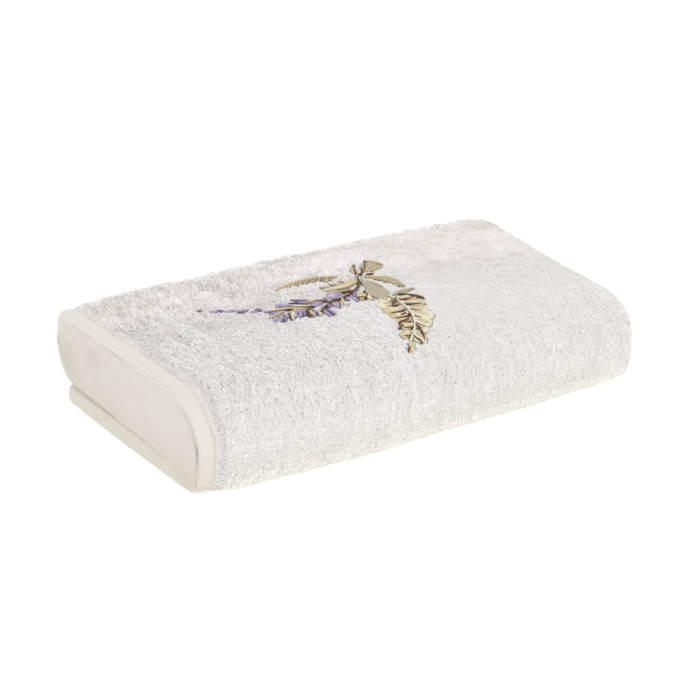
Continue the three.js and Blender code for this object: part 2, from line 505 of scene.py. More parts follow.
    def _place(self, course: Course, x: Array) -> tuple[Array, Array]:
        """Place a course's stations by its formula.

        Args:
            course: The stations.
            x: Places along the pack, one row for each station or one for all.

        Returns:
            How far across and how far up the stations lie there.
        """
        front, back, _ = self.sides(x)
        room = self.room(x)
        across = course.front_part[:, None] * front + course.back_part[:, None] * back
        across = across + course.fixed[:, None] + course.room_part[:, None] * room
        return across, course.up_part[:, None] * room

    def flap_rise(self, across: Array) -> Array:
        """How much the flap's end is thicker than its cloth, which grows towards the front."""
        return self.flap_swell[0] + self.flap_swell[1] * smooth(-across, *self.flap_swell_span)

    def in_front(self, across: Array) -> Array:
        """How far places across the pack lie at its front, from 0 to 1."""
        return smooth(-across, *self.front_span)

    def swell(self, x: Array, y: Array, z: Array) -> Array:
        """The rise of the swells, as the sum of bells, in step with a point's height."""
        floor_cloth = self.room(x) * self.layers[0].loft * self.cloth_share
        share = np.maximum(z - floor_cloth, 0) / self.sides(x)[2]
        return share * sum(one.bell(x, y) for one in self.swells)

    def _hem_line(self, middle: Array, corner: Array) -> Array:
        """Where along the pack the hem of each station lies.

        It is the open end, plus the layer's inset and sway, the rounded corners and the room
        behind the end face, less the flap's slant. The flap's corner is part of an ellipse.

        Args:
            middle: Where across the pack each station lies.
            corner: How near it is to the pack's corners, from 0 to 1.

        Returns:
            The places of the hem's edge before its tip.
        """
        c = self.course
        layer = c.layer.astype(int)
        on_flap = (layer == 0) & (c.turn < 0)
        inset = self.blur(np.array([one.inset for one in self.layers])[layer])
        sway = np.array([one.sway for one in self.layers])[layer]
        level = np.array([one.level for one in self.layers])[layer]
        wander = np.sin(middle / (self.width / 2) * math.pi + self.sway_turn * level)
        hem = -self.length / 2 + inset + sway * (1 + wander)
        hem = hem + self.open_corner_round * corner + self.face_room * self.inside
        hem = hem - self.flap_slant * smooth(middle, *self.flap_slant_span) * on_flap
        rounding = np.clip(1 - (self.flap_end - middle) / self.flap_corner_round, 0, 1) * on_flap
        return hem + self.flap_corner_depth * (1 - np.sqrt(1 - rounding ** 2))

    def _fold_line(self, middle_up: Array, corner: Array) -> Array:
        """Where along the pack each station turns round the fold, furthest at half the height.

        Args:
            middle_up: How high each station lies.
            corner: How near it is to the pack's corners, from 0 to 1.

        Returns:
            The places where the half circle of the fold begins.
        """
        folded = np.full(len(corner), self.length / 2)
        from_middle = np.abs(2 * middle_up / self.sides(folded)[2] - 1)
        belly = self.folded_end_belly * from_middle ** self.belly_sharpness
        room = self.course.loft * self.room(folded)
        return folded - room * self.outside_share - self.folded_corner_round * corner - belly

    def _lay_grid(self) -> None:
        """Lay the cloth's middle surface out as a grid of stations by columns.

        A row runs along the outer ply from its hem, round the half circle of the fold, and back
        along the inner ply to the other hem. Each ply lies half its room off the course.
        """
        c = self.course
        middle, middle_up = (part[:, 0] for part in self._place(c, np.zeros((len(c.loft), 1))))
        layer = c.layer.astype(int)
        self.inside = self.blur(layer > 2)
        corner = np.abs(middle / (self.width / 2)) ** self.corner_sharpness
        hem = self._hem_line(middle, corner)
        turn_x = self._fold_line(middle_up, corner)
        edge = np.array(self.hem_columns)
        hem_x = hem[:, None] - self.tip + edge
        share = np.linspace(0, 1, self.body_columns + 1)[1:]
        body_x = hem_x[:, -1:] + (turn_x[:, None] - hem_x[:, -1:]) * share
        angle = np.linspace(0, math.pi, self.fold_columns + 1)[1:-1]
        fold_x = np.repeat(turn_x[:, None], len(angle), 1)
        flush = self.blur(((layer == 0) & (c.turn < 0)) | (layer == 2) | (c.turn == 1))
        flush = np.maximum(flush, self.in_front(middle) * (layer < 2))
        inner_hem_x = hem_x + (self.inner_ply_inset * (1 - self.inside) * (1 - flush))[:, None]
        share = np.linspace(0, 1, self.inner_columns + 1)[:-1]
        inner_x = turn_x[:, None] + (inner_hem_x[:, -1:] - turn_x[:, None]) * share
        x = np.concatenate([hem_x, body_x, fold_x, inner_x, inner_hem_x[:, ::-1]], 1)
        fold_from = hem_x.shape[1] + body_x.shape[1]
        fold_to = fold_from + len(angle)
        self.side = np.concatenate([np.ones(fold_from), np.cos(angle), -np.ones(x.shape[1] - fold_to)])
        across, up = self._place(c, x)
        before = self._place(c.shifted(-1), x)
        after = self._place(c.shifted(1), x)
        way_y, way_z = after[0] - before[0], after[1] - before[1]
        size = np.maximum(np.hypot(way_y, way_z), 1e-9)
        room = c.loft[:, None] * self.room(x)
        bulge = np.zeros(x.shape)
        bulge[:, fold_from:fold_to] = np.sin(angle) * room[:, fold_from:fold_to] / 2
        y = across - way_z / size * self.side * room / 2
        z = up + way_y / size * self.side * room / 2
        points = np.stack([x + bulge, y, z], -1)
        points[..., 2] += self.swell(points[..., 0], points[..., 1], points[..., 2])
        self.points, self.ply_room = points, room
        self.from_hem = np.concatenate([
            np.broadcast_to(edge, hem_x.shape),
            np.full(x[:, len(edge):-len(edge)].shape, self.length),
            np.broadcast_to(edge[::-1], hem_x.shape),
        ], 1)
        self.first_body, self.first_fold, self.last_fold = hem_x.shape[1] - 1, fold_from - 1, fold_to
        self.normals = self.find_normals(points)
        self.hem_x, self.turn_x = hem_x[:, -1], turn_x
        path = points[:, (self.first_body + self.first_fold) // 2]
        steps = np.linalg.norm(np.diff(path, axis=0), axis=1)
        self.arc = np.concatenate([[0], np.cumsum(steps)])
        on_top = np.flatnonzero((layer == 1) & (c.turn < 0))
        self.top_middle = float(np.interp(0, path[on_top, 1], self.arc[on_top]))

    @staticmethod
    def blur(values: Array, reach: int = 5) -> Array:
        """Numbers of the stations, averaged over a few stations each way."""
        padded = np.pad(values.astype(float), reach, mode="edge")
        return np.convolve(padded, np.ones(2 * reach + 1) / (2 * reach + 1), mode="valid")

    @staticmethod
    def find_normals(points: Array) -> Array:
        """Unit normals of a grid of points, across the differences along its two sides."""
        down = np.gradient(points, axis=0)
        along = np.gradient(points, axis=1)
        return unit(np.cross(along, down))

    def shown(self) -> Array:
        """How far each station's outside shows and carries pile, from 0 to 1.

        It rises from the floor with height round the front, is 1 over the top and down the back,
        and fades where the cloth goes in under the roll.
        """
        c = self.course
        up = self.points[:, (self.first_body + self.first_fold) // 2, 2]
        front = smooth(up, *self.pile_starts) * (c.turn == 0)
        over = (c.layer == 1) | (c.turn == 1)
        end = float(self.arc[np.flatnonzero(c.turn == 1)[-1]])
        under = (c.layer == 2) & (c.turn < 0)
        return np.maximum(front, over) + under * (1 - smooth(self.arc, end, end + self.pile_fades))


# The cloth's surface


@dataclass(frozen=True)
class Crease:
    """A shallow crease along the hem: its middle, how far it reaches along the wrap, and its rise."""

    x: float
    s: float
    reach: float
    rise: float


@dataclass
class Relief:
    """Shallow unevenness of the cloth's outside, in millimetres.

    It is a sum of soft noises of three sizes, the last on the front alone, and a few creases that
    run along the hem. The fine noise is deeper towards the open end.
    """

    broad: Uneven = Uneven(0.6, 46, 11)
    fine: Uneven = Uneven(0.8, 9, 12, 2.4)
    least_fine: float = 0.55
    more_fine: float = 0.6
    fine_span: Pair = (-60, 120)
    front: Uneven = Uneven(0.55, 13, 13, 7)
    front_span: Pair = (82, 108)
    creases: tuple[Crease, ...] = (
        Crease(-132, 10, 34, -1.3),
        Crease(-114, -14, 30, -0.9),
        Crease(-96, 26, 22, -0.7),
    )
    crease_width: float = 4
    crease_slant: float = 0.12

    def rise(self, x: Array, s: Array) -> Array:
        """The rise at places x along the pack and s along the wrap.

        Each crease is a bell across its line and a wider bell along it.
        """
        total = self.broad.at(x, s)
        total = total + (self.least_fine + self.more_fine * smooth(-x, *self.fine_span)) * self.fine.at(x, s)
        total = total + smooth(-s, *self.front_span) * self.front.at(x, s)
        for one in self.creases:
            off = x - one.x - self.crease_slant * (s - one.s)
            across = np.exp(-((off / self.crease_width) ** 2))
            total = total + one.rise * across * np.exp(-(((s - one.s) / one.reach) ** 2))
        return total


@dataclass
class EndFace:
    """The inner hems at the open end, which press on each other and show as one soft face.

    It fills the loop of the outer layer. Its depth is a setback plus soft hollows, and at its rim
    it curves back into the cloth round it.
    """

    cloth: FoldedCloth
    columns: int = 150
    rows: int = 20
    hem_column: int = 8
    setback: float = 2.4
    thickness: float = 1.2
    tuck: float = 1.3
    tuck_reach: float = 3.2
    front_reach: float = 0.8
    roll_gap: float = -0.9
    roll_drop: float = 1.3
    roll_drop_span: Pair = (-100, -60)
    roll_ply_span: Pair = (0, 55)
    flap_side: float = -30
    flap_span: Pair = (46, 76)
    flap_blend: Pair = (1, 7)
    flap_reach: float = 1.6
    flap_tuck_loss: float = 0.8
    flush_share: float = 0.75
    flush_span: Pair = (6, 26)
    uneven: Uneven = Uneven(0.5, 12, 72, 1 / 1.5)
    # Painted shade over the whole face, and more of it in the hollows.
    face_shade: float = 0.55
    hollow_shade: float = 0.11
    hollows: tuple[Swell, ...] = (
        Swell(80, 32, 13, 13, 3.6),
        Swell(44, 44, 17, 8, 3.2),
        Swell(-78, 12, 14, 6, 1.6),
        Swell(-30, 28, 38, 15, -1.2),
    )

    def hollow(self, across: Array, up: Array) -> Array:
        """How far the face stands back at places across and up, as bells and soft noise."""
        corner = np.abs(across / (self.cloth.width / 2)) ** self.cloth.corner_sharpness
        total = self.cloth.open_corner_round * corner + self.uneven.at(across, up)
        return total + sum(one.bell(across, up) for one in self.hollows)

    @staticmethod
    def _line(points: Array, across: Array) -> Array:
        """The height of a line of points at places across."""
        order = np.argsort(points[:, 0])
        return np.interp(across, points[order, 0], points[order, 1])

    def _rim(self) -> tuple[Array, Array, Array, Array]:
        """The face's outline.

        Its top follows the inner ply of the top layer. Its underside follows the layer below the
        roll, from its upper ply at the back to its lower one, and near the front the flap.

        Returns:
            Places across the pack, the heights of the underside and of the top there, and how far
            the underside follows the flap, from 0 to 1.
        """
        c = self.cloth.course
        column = self.hem_column
        outer, inner = self.cloth.points[:, column, 1:], self.cloth.points[:, -1 - column, 1:]
        push = self.front_reach * self.cloth.in_front(inner[:, :1]) * (c.layer < 2)[:, None]
        inner = inner - self.cloth.normals[:, -1 - column, 1:] * push
        first = int(np.argmin(np.where(c.turn == 0, inner[:, 0], np.inf)))
        last = int(np.argmax(np.where(c.turn == 1, inner[:, 0], -np.inf)))
        stations = np.arange(len(inner))
        across = np.linspace(inner[first, 0] - self.front_reach, inner[last, 0], self.columns)
        top = self._line(inner[first + 1:last], across)
        under = (stations > last) & ((c.turn == 1) | ((c.layer == 2) & (c.turn < 0)))
        share = smooth(inner[under, :1], *self.roll_ply_span)
        roll = self._line(inner[under] * share + outer[under] * (1 - share), across)
        roll = roll + self.cloth.flap_rise(across) + self.roll_gap
        roll = roll - self.roll_drop * smooth(-across, *self.roll_drop_span)
        flap = self._line(outer[(stations < first) & (inner[:, 0] < self.flap_side)], across)
        on_flap = smooth(-across, *self.flap_span)
        return across, roll * (1 - on_flap) + flap * on_flap, top, on_flap

    def grid(self) -> tuple[Array, Array]:
        """The face's front and back, as grids of points that share their rim.

        The depth is the setback and the hollows, a quarter circle back at the rim, and a reach
        forwards beside the flap.
        """
        across, low, top, on_flap = self._rim()
        part = (1 - np.cos(np.linspace(0, math.pi, self.rows))) / 2
        y = np.broadcast_to(across[:, None], (self.columns, self.rows))
        z = low[:, None] + (top - low)[:, None] * part
        ends = np.minimum(y - across[0], across[-1] - y)
        inwards = np.minimum(np.minimum(z - low[:, None], top[:, None] - z), ends)
        rounding = 1 - np.clip(inwards / self.tuck_reach, 0, 1)
        flush = on_flap[:, None] * (1 - smooth(z, *self.flush_span))
        depth = self.setback * (1 - self.flush_share * flush) + self.hollow(y, z)
        by_flap = (1 - smooth(z - low[:, None], *self.flap_blend)) * (1 - on_flap[:, None])
        tuck = self.tuck * (1 - self.flap_tuck_loss * by_flap)
        depth = depth + tuck * (1 - np.sqrt(1 - rounding ** 2)) - self.flap_reach * by_flap
        front = np.stack([depth - self.cloth.length / 2, y, z], -1)
        back = front.copy()
        back[1:-1, 1:-1, 0] += self.thickness
        return front, back


@dataclass
class Skin:
    """The outside of the cloth, where the pile stands, with ways to find places on it."""

    cloth: FoldedCloth
    relief: Relief
    pile_depth: float = 1.25
    seam_shade: float = 0.5
    groove_depth: float = 1.4
    groove_width: float = 1.8
    hem_step: Pair = (-0.8, 0.2)
    hem_colour_step: Pair = (-0.6, 0.3)
    hem_calm: float = 0.6
    flap_thins: Pair = (6, 20)

    def __post_init__(self) -> None:
        """Offset the cloth's middle surface to its two faces.

        Under pile the outer face lies the pile's depth lower, and its hem is thinner, with a
        groove beside it. Elsewhere both faces lie half the ply's room off. The relief lifts both
        faces alike, but hardly the hem.
        """
        cloth = self.cloth
        c = cloth.course
        half = cloth.ply_room * cloth.cloth_share / 2
        shown = cloth.shown()[:, None]
        outer_ply = np.clip((cloth.side + 1) / 2, 0, 1)[None, :]
        open_outside = cloth.blur((c.layer < 2) | (c.turn == 1) | ((c.layer == 2) & (c.turn < 0)), 2)
        open_inside = cloth.blur((c.layer == 0) & (c.turn < 0), 2)
        free = open_outside[:, None] * outer_ply + open_inside[:, None] * (1 - outer_ply)
        weight = shown * smooth(outer_ply, 0.3, 0.7)
        self.along = cloth.arc[:, None] - cloth.top_middle + np.zeros(half.shape)
        lift = self.relief.rise(cloth.points[..., 0], self.along) * weight
        in_hem = self._in_hem(self.hem_step)
        groove = self._beside_hem(self.hem_step[1])
        pressed = back = cloth.ply_room / 2 * cloth.pressed_share
        piled = half - self.pile_depth
        body_out = half * free * (1 - weight) + piled * weight + pressed * (1 - np.maximum(free, weight))
        hem_out = half * cloth.hem_thinness * free + pressed * (1 - free)
        out = body_out * (1 - in_hem) + hem_out * in_hem - groove * self.groove_depth * weight
        flap = open_inside[:, None]
        out = out * self._edge_round(free) * (1 - flap) + self._flap_out() * flap
        back = back * (self._edge_round(0) * (1 - flap) + flap)
        self.outer = cloth.points + cloth.normals * (out + lift * (1 - self.hem_calm * in_hem))[..., None]
        self.inner = cloth.points - cloth.normals * (back - lift * (1 - in_hem))[..., None]
        self.normals = cloth.find_normals(self.outer)

    def _in_hem(self, step: Pair) -> Array:
        """1 in the hem and 0 past it, with a smooth step round the hem's inner edge."""
        width = self.cloth.hem_width
        return 1 - smooth(self.cloth.from_hem, width + step[0], width + step[1])

    def _beside_hem(self, off: float) -> Array:
        """A bell across the line beside the hem, which lies off its inner edge towards the hem."""
        return np.exp(-(((self.cloth.from_hem - self.cloth.hem_width + off) / self.groove_width) ** 2))

    def _from_end(self) -> Array:
        """How far each station lies from the nearer end of the cloth along the wrap."""
        arc = self.cloth.arc
        return np.minimum(arc, arc[-1] - arc)[:, None]

    def _edge_round(self, free: Array | float) -> Array:
        """0 at the cloth's edges, rising to 1 along a quarter circle that is wider on free edges."""
        cloth = self.cloth
        reach = cloth.pressed_edge_round + (cloth.edge_round - cloth.pressed_edge_round) * free
        share = np.clip(np.minimum(cloth.from_hem, self._from_end()) / reach, 0, 1)
        return np.sqrt(1 - (1 - share) ** 2)

    def _flap_out(self) -> Array:
        """The outer offset on the flap, whose two plies end in one round edge.

        It is a quarter ellipse round the middle between the plies, less the way to the ply itself.
        """
        cloth = self.cloth
        from_end = self._from_end()
        share = np.clip(np.minimum(cloth.from_hem / cloth.flap_hem_round, from_end / cloth.flap_round), 0, 1)
        half = cloth.ply_room / 2
        thick = half * (1 + cloth.flap_fullness)
        upper = (cloth.side < 0)[None, :] * (1 - smooth(cloth.from_hem, *self.flap_thins))
        thick = thick + upper * cloth.flap_rise(cloth.points[..., 1])
        return thick * np.sqrt(1 - (1 - share) ** 2) - half

    def _station(self, s: Array) -> Array:
        """The station, with its fraction, at places along the wrap."""
        return np.interp(s + self.cloth.top_middle, self.cloth.arc, np.arange(len(self.cloth.arc)))

    def spots(self, x: Array, s: Array) -> tuple[Array, Array]:
        """The grid's row and column, with fractions, at places along the pack and the wrap."""
        cloth = self.cloth
        row = self._station(s)
        stations = np.arange(len(cloth.arc))
        start, end = np.interp(row, stations, cloth.hem_x), np.interp(row, stations, cloth.turn_x)
        share = (x - start) / (end - start)
        column = cloth.first_body + share * (cloth.first_fold - cloth.first_body)
        edge = np.array(cloth.hem_columns)
        return row, np.where(share > 0, column, np.interp(x - start + edge[-1], edge, np.arange(len(edge))))

    def at(self, row: Array, column: Array) -> tuple[Array, Array, Array, Array]:
        """Places on the outer face, its normals, and its ways along the wrap and along the pack.

        They are read from the grid by blending the four points round each place.
        """
        found = [self._blend(grid, row, column) for grid in (self.outer, self.normals)]
        normal = unit(found[1])
        further = self._blend(self.outer, row + 0.5, column) - self._blend(self.outer, row - 0.5, column)
        wrap = unit(further - normal * (further * normal).sum(-1, keepdims=True))
        return found[0], normal, wrap, np.cross(wrap, normal)

    @staticmethod
    def _blend(grid: Array, row: Array, column: Array) -> Array:
        """Blend a grid's four points round each place, in step with the place's fractions."""
        row = np.clip(row, 0, grid.shape[0] - 1.001)
        column = np.clip(column, 0, grid.shape[1] - 1.001)
        i, j = row.astype(int), column.astype(int)
        a, b = (row - i)[:, None], (column - j)[:, None]
        near = grid[i, j] * (1 - b) + grid[i, j + 1] * b
        far = grid[i + 1, j] * (1 - b) + grid[i + 1, j + 1] * b
        return near * (1 - a) + far * a

    def hem_edge(self, s: Array) -> Array:
        """Where along the pack the hem ends and the pile begins, at places along the wrap."""
        return np.interp(s + self.cloth.top_middle, self.cloth.arc, self.cloth.hem_x)

    def shows(self, s: Array) -> Array:
        """How far the outside shows and carries pile, at places along the wrap."""
        return np.interp(s + self.cloth.top_middle, self.cloth.arc, self.cloth.shown())

    def build(self, material: Material) -> Piece:
        """Make the cloth as one closed sheet, with the soft face that its inner hems make.

        Args:
            material: What the cloth wears.

        Returns:
            The piece. It stores how far each point is hem, and how much painted shade it gets beside the hem
            and on the end face, for the material.
        """
        points, faces = self._closed(self.outer, self.inner)
        points[:, 2] = np.maximum(points[:, 2], 0)
        steps = np.linalg.norm(np.diff(self.outer, axis=1), axis=2)
        across = np.concatenate([np.zeros((len(steps), 1)), np.cumsum(steps, 1)], 1)
        uv = self._closed(np.stack([across, self.along], -1))[0]
        hem = self._closed(self._in_hem(self.hem_colour_step)[..., None])[0][:, 0]
        end = EndFace(self.cloth)
        end_points, end_faces = self._closed(*end.grid())
        faces = np.concatenate([faces, end_faces + len(points)])
        points = np.concatenate([points, end_points])
        uv = np.concatenate([uv, end_points[:, 1:]]) * MM
        piece = new_piece("towel_cloth", points, faces, uv, material)
        paint(piece, "hem", np.concatenate([hem, np.ones(len(end_points))]))
        # Painted shade on the end face, more in its hollows, and in the groove beside the hem.
        painted_shade = end.face_shade + end.hollow_shade * end.hollow(end_points[:, 1], end_points[:, 2])
        groove_shade = self._closed(self._beside_hem(0)[..., None] * self.seam_shade)[0][:, 0]
        paint(piece, "painted_shade", np.clip(np.concatenate([groove_shade, painted_shade]), 0, 1))
        return piece

    @staticmethod
    def _closed(front: Array, back: Array | None = None) -> tuple[Array, Array]:
        """Join two grids of points that share their rim into one closed shell.

        Args:
            front: The grid whose faces look outwards.
            back: The grid behind it. It is the front again where none is given.

        Returns:
            The points, and the faces as rows of four point numbers.
        """
        back = front if back is None else back
        rows, columns = front.shape[:2]
        count = rows * columns
        numbers = np.arange(count).reshape(rows, columns)
        behind = numbers.copy()
        behind[1:-1, 1:-1] = count + np.arange((rows - 2) * (columns - 2)).reshape(rows - 2, columns - 2)
        size = front.shape[-1]
        points = np.concatenate([front.reshape(-1, size), back[1:-1, 1:-1].reshape(-1, size)])
        return points, np.concatenate([grid_faces(numbers)[:, ::-1], grid_faces(behind)])


# The pile


@dataclass(frozen=True)
class PileStrip:
    """A strip of the outside that carries one piece of pile, from start to end along the wrap."""

    name: str
    start: float
    end: float
    spacing: float


@dataclass(frozen=True)
class Spots:
    """Where tufts stand: along the pack and the wrap, and by row and column of the skin's grid."""

    x: Array
    s: Array
    row: Array
    column: Array

    def kept(self, keep: Array) -> "Spots":
        """Only the spots where keep is true."""
        return Spots(self.x[keep], self.s[keep], self.row[keep], self.column[keep])


@dataclass(frozen=True)
class Shade:
    """A part of the pile with painted light, or painted shade where amount is below zero. The left lean is
    laid out the same way.

    It grows along a smooth step along the pack and another along the wrap, each given by where it
    begins and ends.
    """

    amount: float
    along: Pair
    around: Pair

    def at(self, x: Array, s: Array) -> Array:
        """The painted light or shade, or the lean, at places on the cloth."""
        return self.amount * smooth(x, *self.along) * smooth(s, *self.around)


@dataclass
class Pile:
    """The loops of the terry, as small leaning tufts.

    Each tuft is a three-sided grain: a root under the cloth's face, a ring of three points at its
    middle, and a tip. Tufts lean along a slowly turning direction and a little towards the middle
    of their clump, and are shorter where two clumps part and in scattered dips. Leans are in parts
    of a tuft's height, and a shade is a part of the way from the colour of painted shade to the
    bright one, which paints light and shade with a random part.
    bare marks the places that the stitching covers, which carry no pile.
    """

    skin: Skin
    material: Material
    bare: "Cover"
    tuft_height: float = 1.85
    height_spread: Pair = (0.9, 1.1)
    height_at_border: float = 0.55
    height_by_hem: float = 0.38
    hem_reach: float = 7
    overhang: float = 1.4
    least_shown: float = 0.12
    longest: float = 5.6
    least_upright: float = 0.2
    tuft_radius: float = 0.68
    radius_spread: Pair = (0.85, 1.15)
    calm_width: float = 1.8
    rough_loss: float = 0.6
    root_depth: float = 0.3
    ring_share: float = 0.5
    least_height: float = 0.05
    small_clump: float = 4.5
    small_stretch: float = 1.6
    small_border: Pair = (0.9, 0.35)
    small_pull: Pair = (0.05, 0.03)
    large_clump: float = 14
    large_stretch: float = 1.4
    large_border: Pair = (0.92, 0.2)
    large_pull: Pair = (0.015, 0.01)
    jitter: float = 0.13
    spin_jitter: float = 0.35
    fringe: float = 0.2
    least_rough: float = 0.25
    rough_along: Pair = (90, -80)
    rough_around: Pair = (-110, -60)
    calm_back: float = 0.7
    calm_around: Pair = (70, 105)
    back_around: Pair = (-10, 70)
    back_taller: float = 0.6
    back_uneven: Uneven = Uneven(0.55, 5, 91)
    streak_size: float = 1.15
    streak_step: float = 1.1
    streak_lean: Pair = (-0.25, -0.35)
    streak_parts: tuple[Pair, ...] = ((1, 0.2), (2.8, 0.42))
    streak_height: float = 0.3
    dip_pitch: Pair = (15, 12)
    dip_reach: Pair = (2, 3.2)
    dip_bend: Uneven = Uneven(1.5, 5, 62)
    dip_least: float = 0.35
    dip_along: Pair = (-60, 100)
    dip_patches: Uneven = Uneven(1, 31, 63)
    dip_patch_step: Pair = (-0.9, 0.2)
    dip_depth: float = 0.4
    # Ripples that exist only as painted shade; the tufts' heights don't follow them.
    ripple: Uneven = Uneven(1, 6, 95, 6)
    ripple_starts: Pair = (55, 80)
    ripple_ends: Pair = (-135, -110)
    front_lean: float = -1.7
    lean_eases: float = 1.45
    lean_around: Pair = (-50, 60)
    forward_ends: Pair = (0, 0.6)
    back_lean: float = 1.3
    backward_starts: Pair = (0.25, 0.8)
    left_lean: Shade = Shade(-0.3, along=(20, 130), around=(-60, 40))
    lower_lean: float = 0.6
    upper_lean: Pair = (0.5, 1.1)
    upright_pull: float = 0.6
    calm_pull: float = 0.15
    calm_spin: float = 0.3
    sways_around: tuple[Uneven, ...] = (Uneven(0.15, 30, 51), Uneven(0.2, 12, 52))
    sways_along: tuple[Uneven, ...] = (Uneven(0.2, 34, 53), Uneven(0.22, 12, 54))
    # Each tuft's painted light and shade: a base, a random spread, along streaks, in dips and ripples, beside
    # the hem, and over parts of the pile.
    shade: float = 0.63
    shade_spread: float = 0.12
    streak_shade: float = 0.5
    dip_shade: float = 0.5
    ripple_shade: float = 0.5
    hem_shadow: Pair = (1.2, 4)
    # Painted light, or painted shade where the amount is below zero, over parts of the pile.
    painted_light_and_shade: tuple[Shade, ...] = (
        Shade(0.2, along=(20, -100), around=(40, -60)),
        Shade(-0.2, along=(-301, -300), around=(20, 70)),
        Shade(-0.4, along=(60, -60), around=(45, 88)),
        Shade(0.12, along=(0, -60), around=(0, 50)),
        Shade(-0.3, along=(20, 110), around=(-70, -20)),
    )
    end_spacing: float = 1.15
    end_turns: int = 8
    end_reach: float = 9
    end_inner_share: float = 0.42
    strips: tuple[PileStrip, ...] = (
        PileStrip("pile_front", -172, -92, 0.97),
        PileStrip("pile_top_front", -92, -6, 0.97),
        PileStrip("pile_top_back", -6, 80, 0.97),
        PileStrip("pile_back", 80, 178, 1.18),
    )

    def build(self) -> list[Piece]:
        """Make the pile of each strip and of the folded end."""
        cloth = self.skin.cloth
        stations = np.arange(len(cloth.arc))
        made = []
        for seed, strip in enumerate(self.strips):
            x, s = self._scatter(strip, seed)
            spots = Spots(x, s, *self.skin.spots(x, s))
            start = np.interp(spots.row, stations, cloth.hem_x)
            end = np.interp(spots.row, stations, cloth.turn_x)
            keep = (x > start - self.overhang) & (x < end) & (self.skin.shows(s) > self.least_shown)
            made.append(self._tufts(strip.name, spots.kept(keep & ~self.bare.covers(x, s)), seed))
        made.append(self._folded_end())
        return made

    def _scatter(self, strip: PileStrip, seed: int) -> tuple[Array, Array]:
        """Places on a strip: a lattice with each point moved at random inside its cell."""
        half = self.skin.cloth.length / 2
        step = strip.spacing
        x, s = np.meshgrid(np.arange(-half, half, step), np.arange(strip.start, strip.end, step))
        rng = np.random.default_rng(100 + seed)
        x = x + rng.uniform(0, step, x.shape)
        s = s + rng.uniform(0, step, s.shape)
        return x.ravel(), s.ravel()

    def _folded_end(self) -> Piece:
        """The pile on the rounded ends of all the layers, where the cloth is folded between its hems.

        The tufts go all round the outer folds, and on the inner ones less far.
        """
        cloth = self.skin.cloth
        rng = np.random.default_rng(200)
        total = float(cloth.arc[-1])
        along, around = np.meshgrid(np.arange(0, total, self.end_spacing), np.arange(self.end_turns))
        arc = along.ravel() + rng.uniform(0, self.end_spacing, along.size)
        share = (around.ravel() + rng.uniform(0, 1, along.size)) / self.end_turns
        row = np.interp(arc, cloth.arc, np.arange(len(cloth.arc)))
        column = cloth.first_fold + 0.5 + share * (cloth.last_fold - cloth.first_fold - 1.5)
        outer = np.interp(arc, cloth.arc, cloth.shown()) > 0.5
        keep = (arc < total - 2) & (outer | (np.abs(share - 0.5) < self.end_inner_share))
        spots = Spots(cloth.length / 2 + share * self.end_reach, arc - cloth.top_middle, row, column)
        return self._tufts("pile_folded_end", spots.kept(keep), 9)

    def _tufts(self, name: str, spots: Spots, seed: int) -> Piece:
        """Make one piece of tufts. Few of them may lean over the stitching.

        Args:
            name: The piece's name.
            spots: Where they stand.
            seed: Picks the random numbers.

        Returns:
            The piece.
        """
        x, s = spots.x, spots.s
        rng = np.random.default_rng(300 + seed)
        root, normal, wrap, pack = self.skin.at(spots.row, spots.column)
        small = clumps(x, s, self.small_clump, self.small_clump * self.small_stretch, 31)
        large = clumps(x, s, self.large_clump, self.large_clump * self.large_stretch, 41)
        rough = self._rough(x, s)
        calm_s, calm_x = self._lean(x, s, normal)
        leaning = self.upright_pull + (1 - self.upright_pull) * np.hypot(calm_s, calm_x)
        strong = leaning * (self.calm_pull + (1 - self.calm_pull) * rough)
        pull_x = self.small_pull[0] * small[0] + self.large_pull[0] * large[0]
        pull_s = self.small_pull[1] * small[1] + self.large_pull[1] * large[1]
        lean_s = calm_s + strong * (pull_s + rng.normal(0, self.jitter, len(x)))
        lean_x = calm_x + strong * (pull_x + rng.normal(0, self.jitter, len(x)))
        way = wrap * lean_s[:, None] + pack * lean_x[:, None]
        lower = unit(normal + self.lower_lean * way)
        upper = unit(normal * self.upper_lean[0] + self.upper_lean[1] * way)
        streak, dip = rough * self._streak(x, s, calm_x, calm_s), self._dips(x, s)
        height = self._height(x, s, (small[2], large[2], streak, dip), rng)
        ring_at, tip = self._bent((root, normal), (lower, upper), height)
        reach_x, reach_s = ((tip - root) * pack).sum(1), ((tip - root) * wrap).sum(1)
        covers = self.bare.covers
        over = covers(x + reach_x, s + reach_s) | covers(x + reach_x / 2, s + reach_s / 2)
        stands = over & (rng.uniform(0, 1, len(x)) > self.fringe)
        ring_at[stands] = (root + normal * (height * self.ring_share)[:, None])[stands]
        tip[stands] = (root + normal * height[:, None])[stands]
        ring = self._ring(ring_at, lower, unit(np.cross(lower, normal + pack * 0.05)), rough, rng)
        tone = self._painted_shading_and_tone(x, s, streak, rough, dip, rng)
        keep = ~covers(x, s)
        points = np.stack([root - normal * self.root_depth, *ring, tip], 1)[keep]
        points[..., 2] = np.maximum(points[..., 2], self.least_height)
        count = len(points)
        pattern = np.array([[0, 2, 1], [0, 3, 2], [0, 1, 3], [4, 1, 2], [4, 2, 3], [4, 3, 1]])
        faces = (np.arange(count)[:, None, None] * 5 + pattern).reshape(-1, 3)
        uv = np.repeat(np.stack([x, s], -1)[keep] * MM, 5, 0)
        piece = new_piece(name, points.reshape(-1, 3), faces, uv, self.material, is_smooth=False)
        # How far up each point lies; the material paints shade at the roots by it.
        paint(piece, "tall", np.tile([0, 0.6, 0.6, 0.6, 1], count))
        paint(piece, "tone", np.repeat(tone[keep], 5))
        return piece

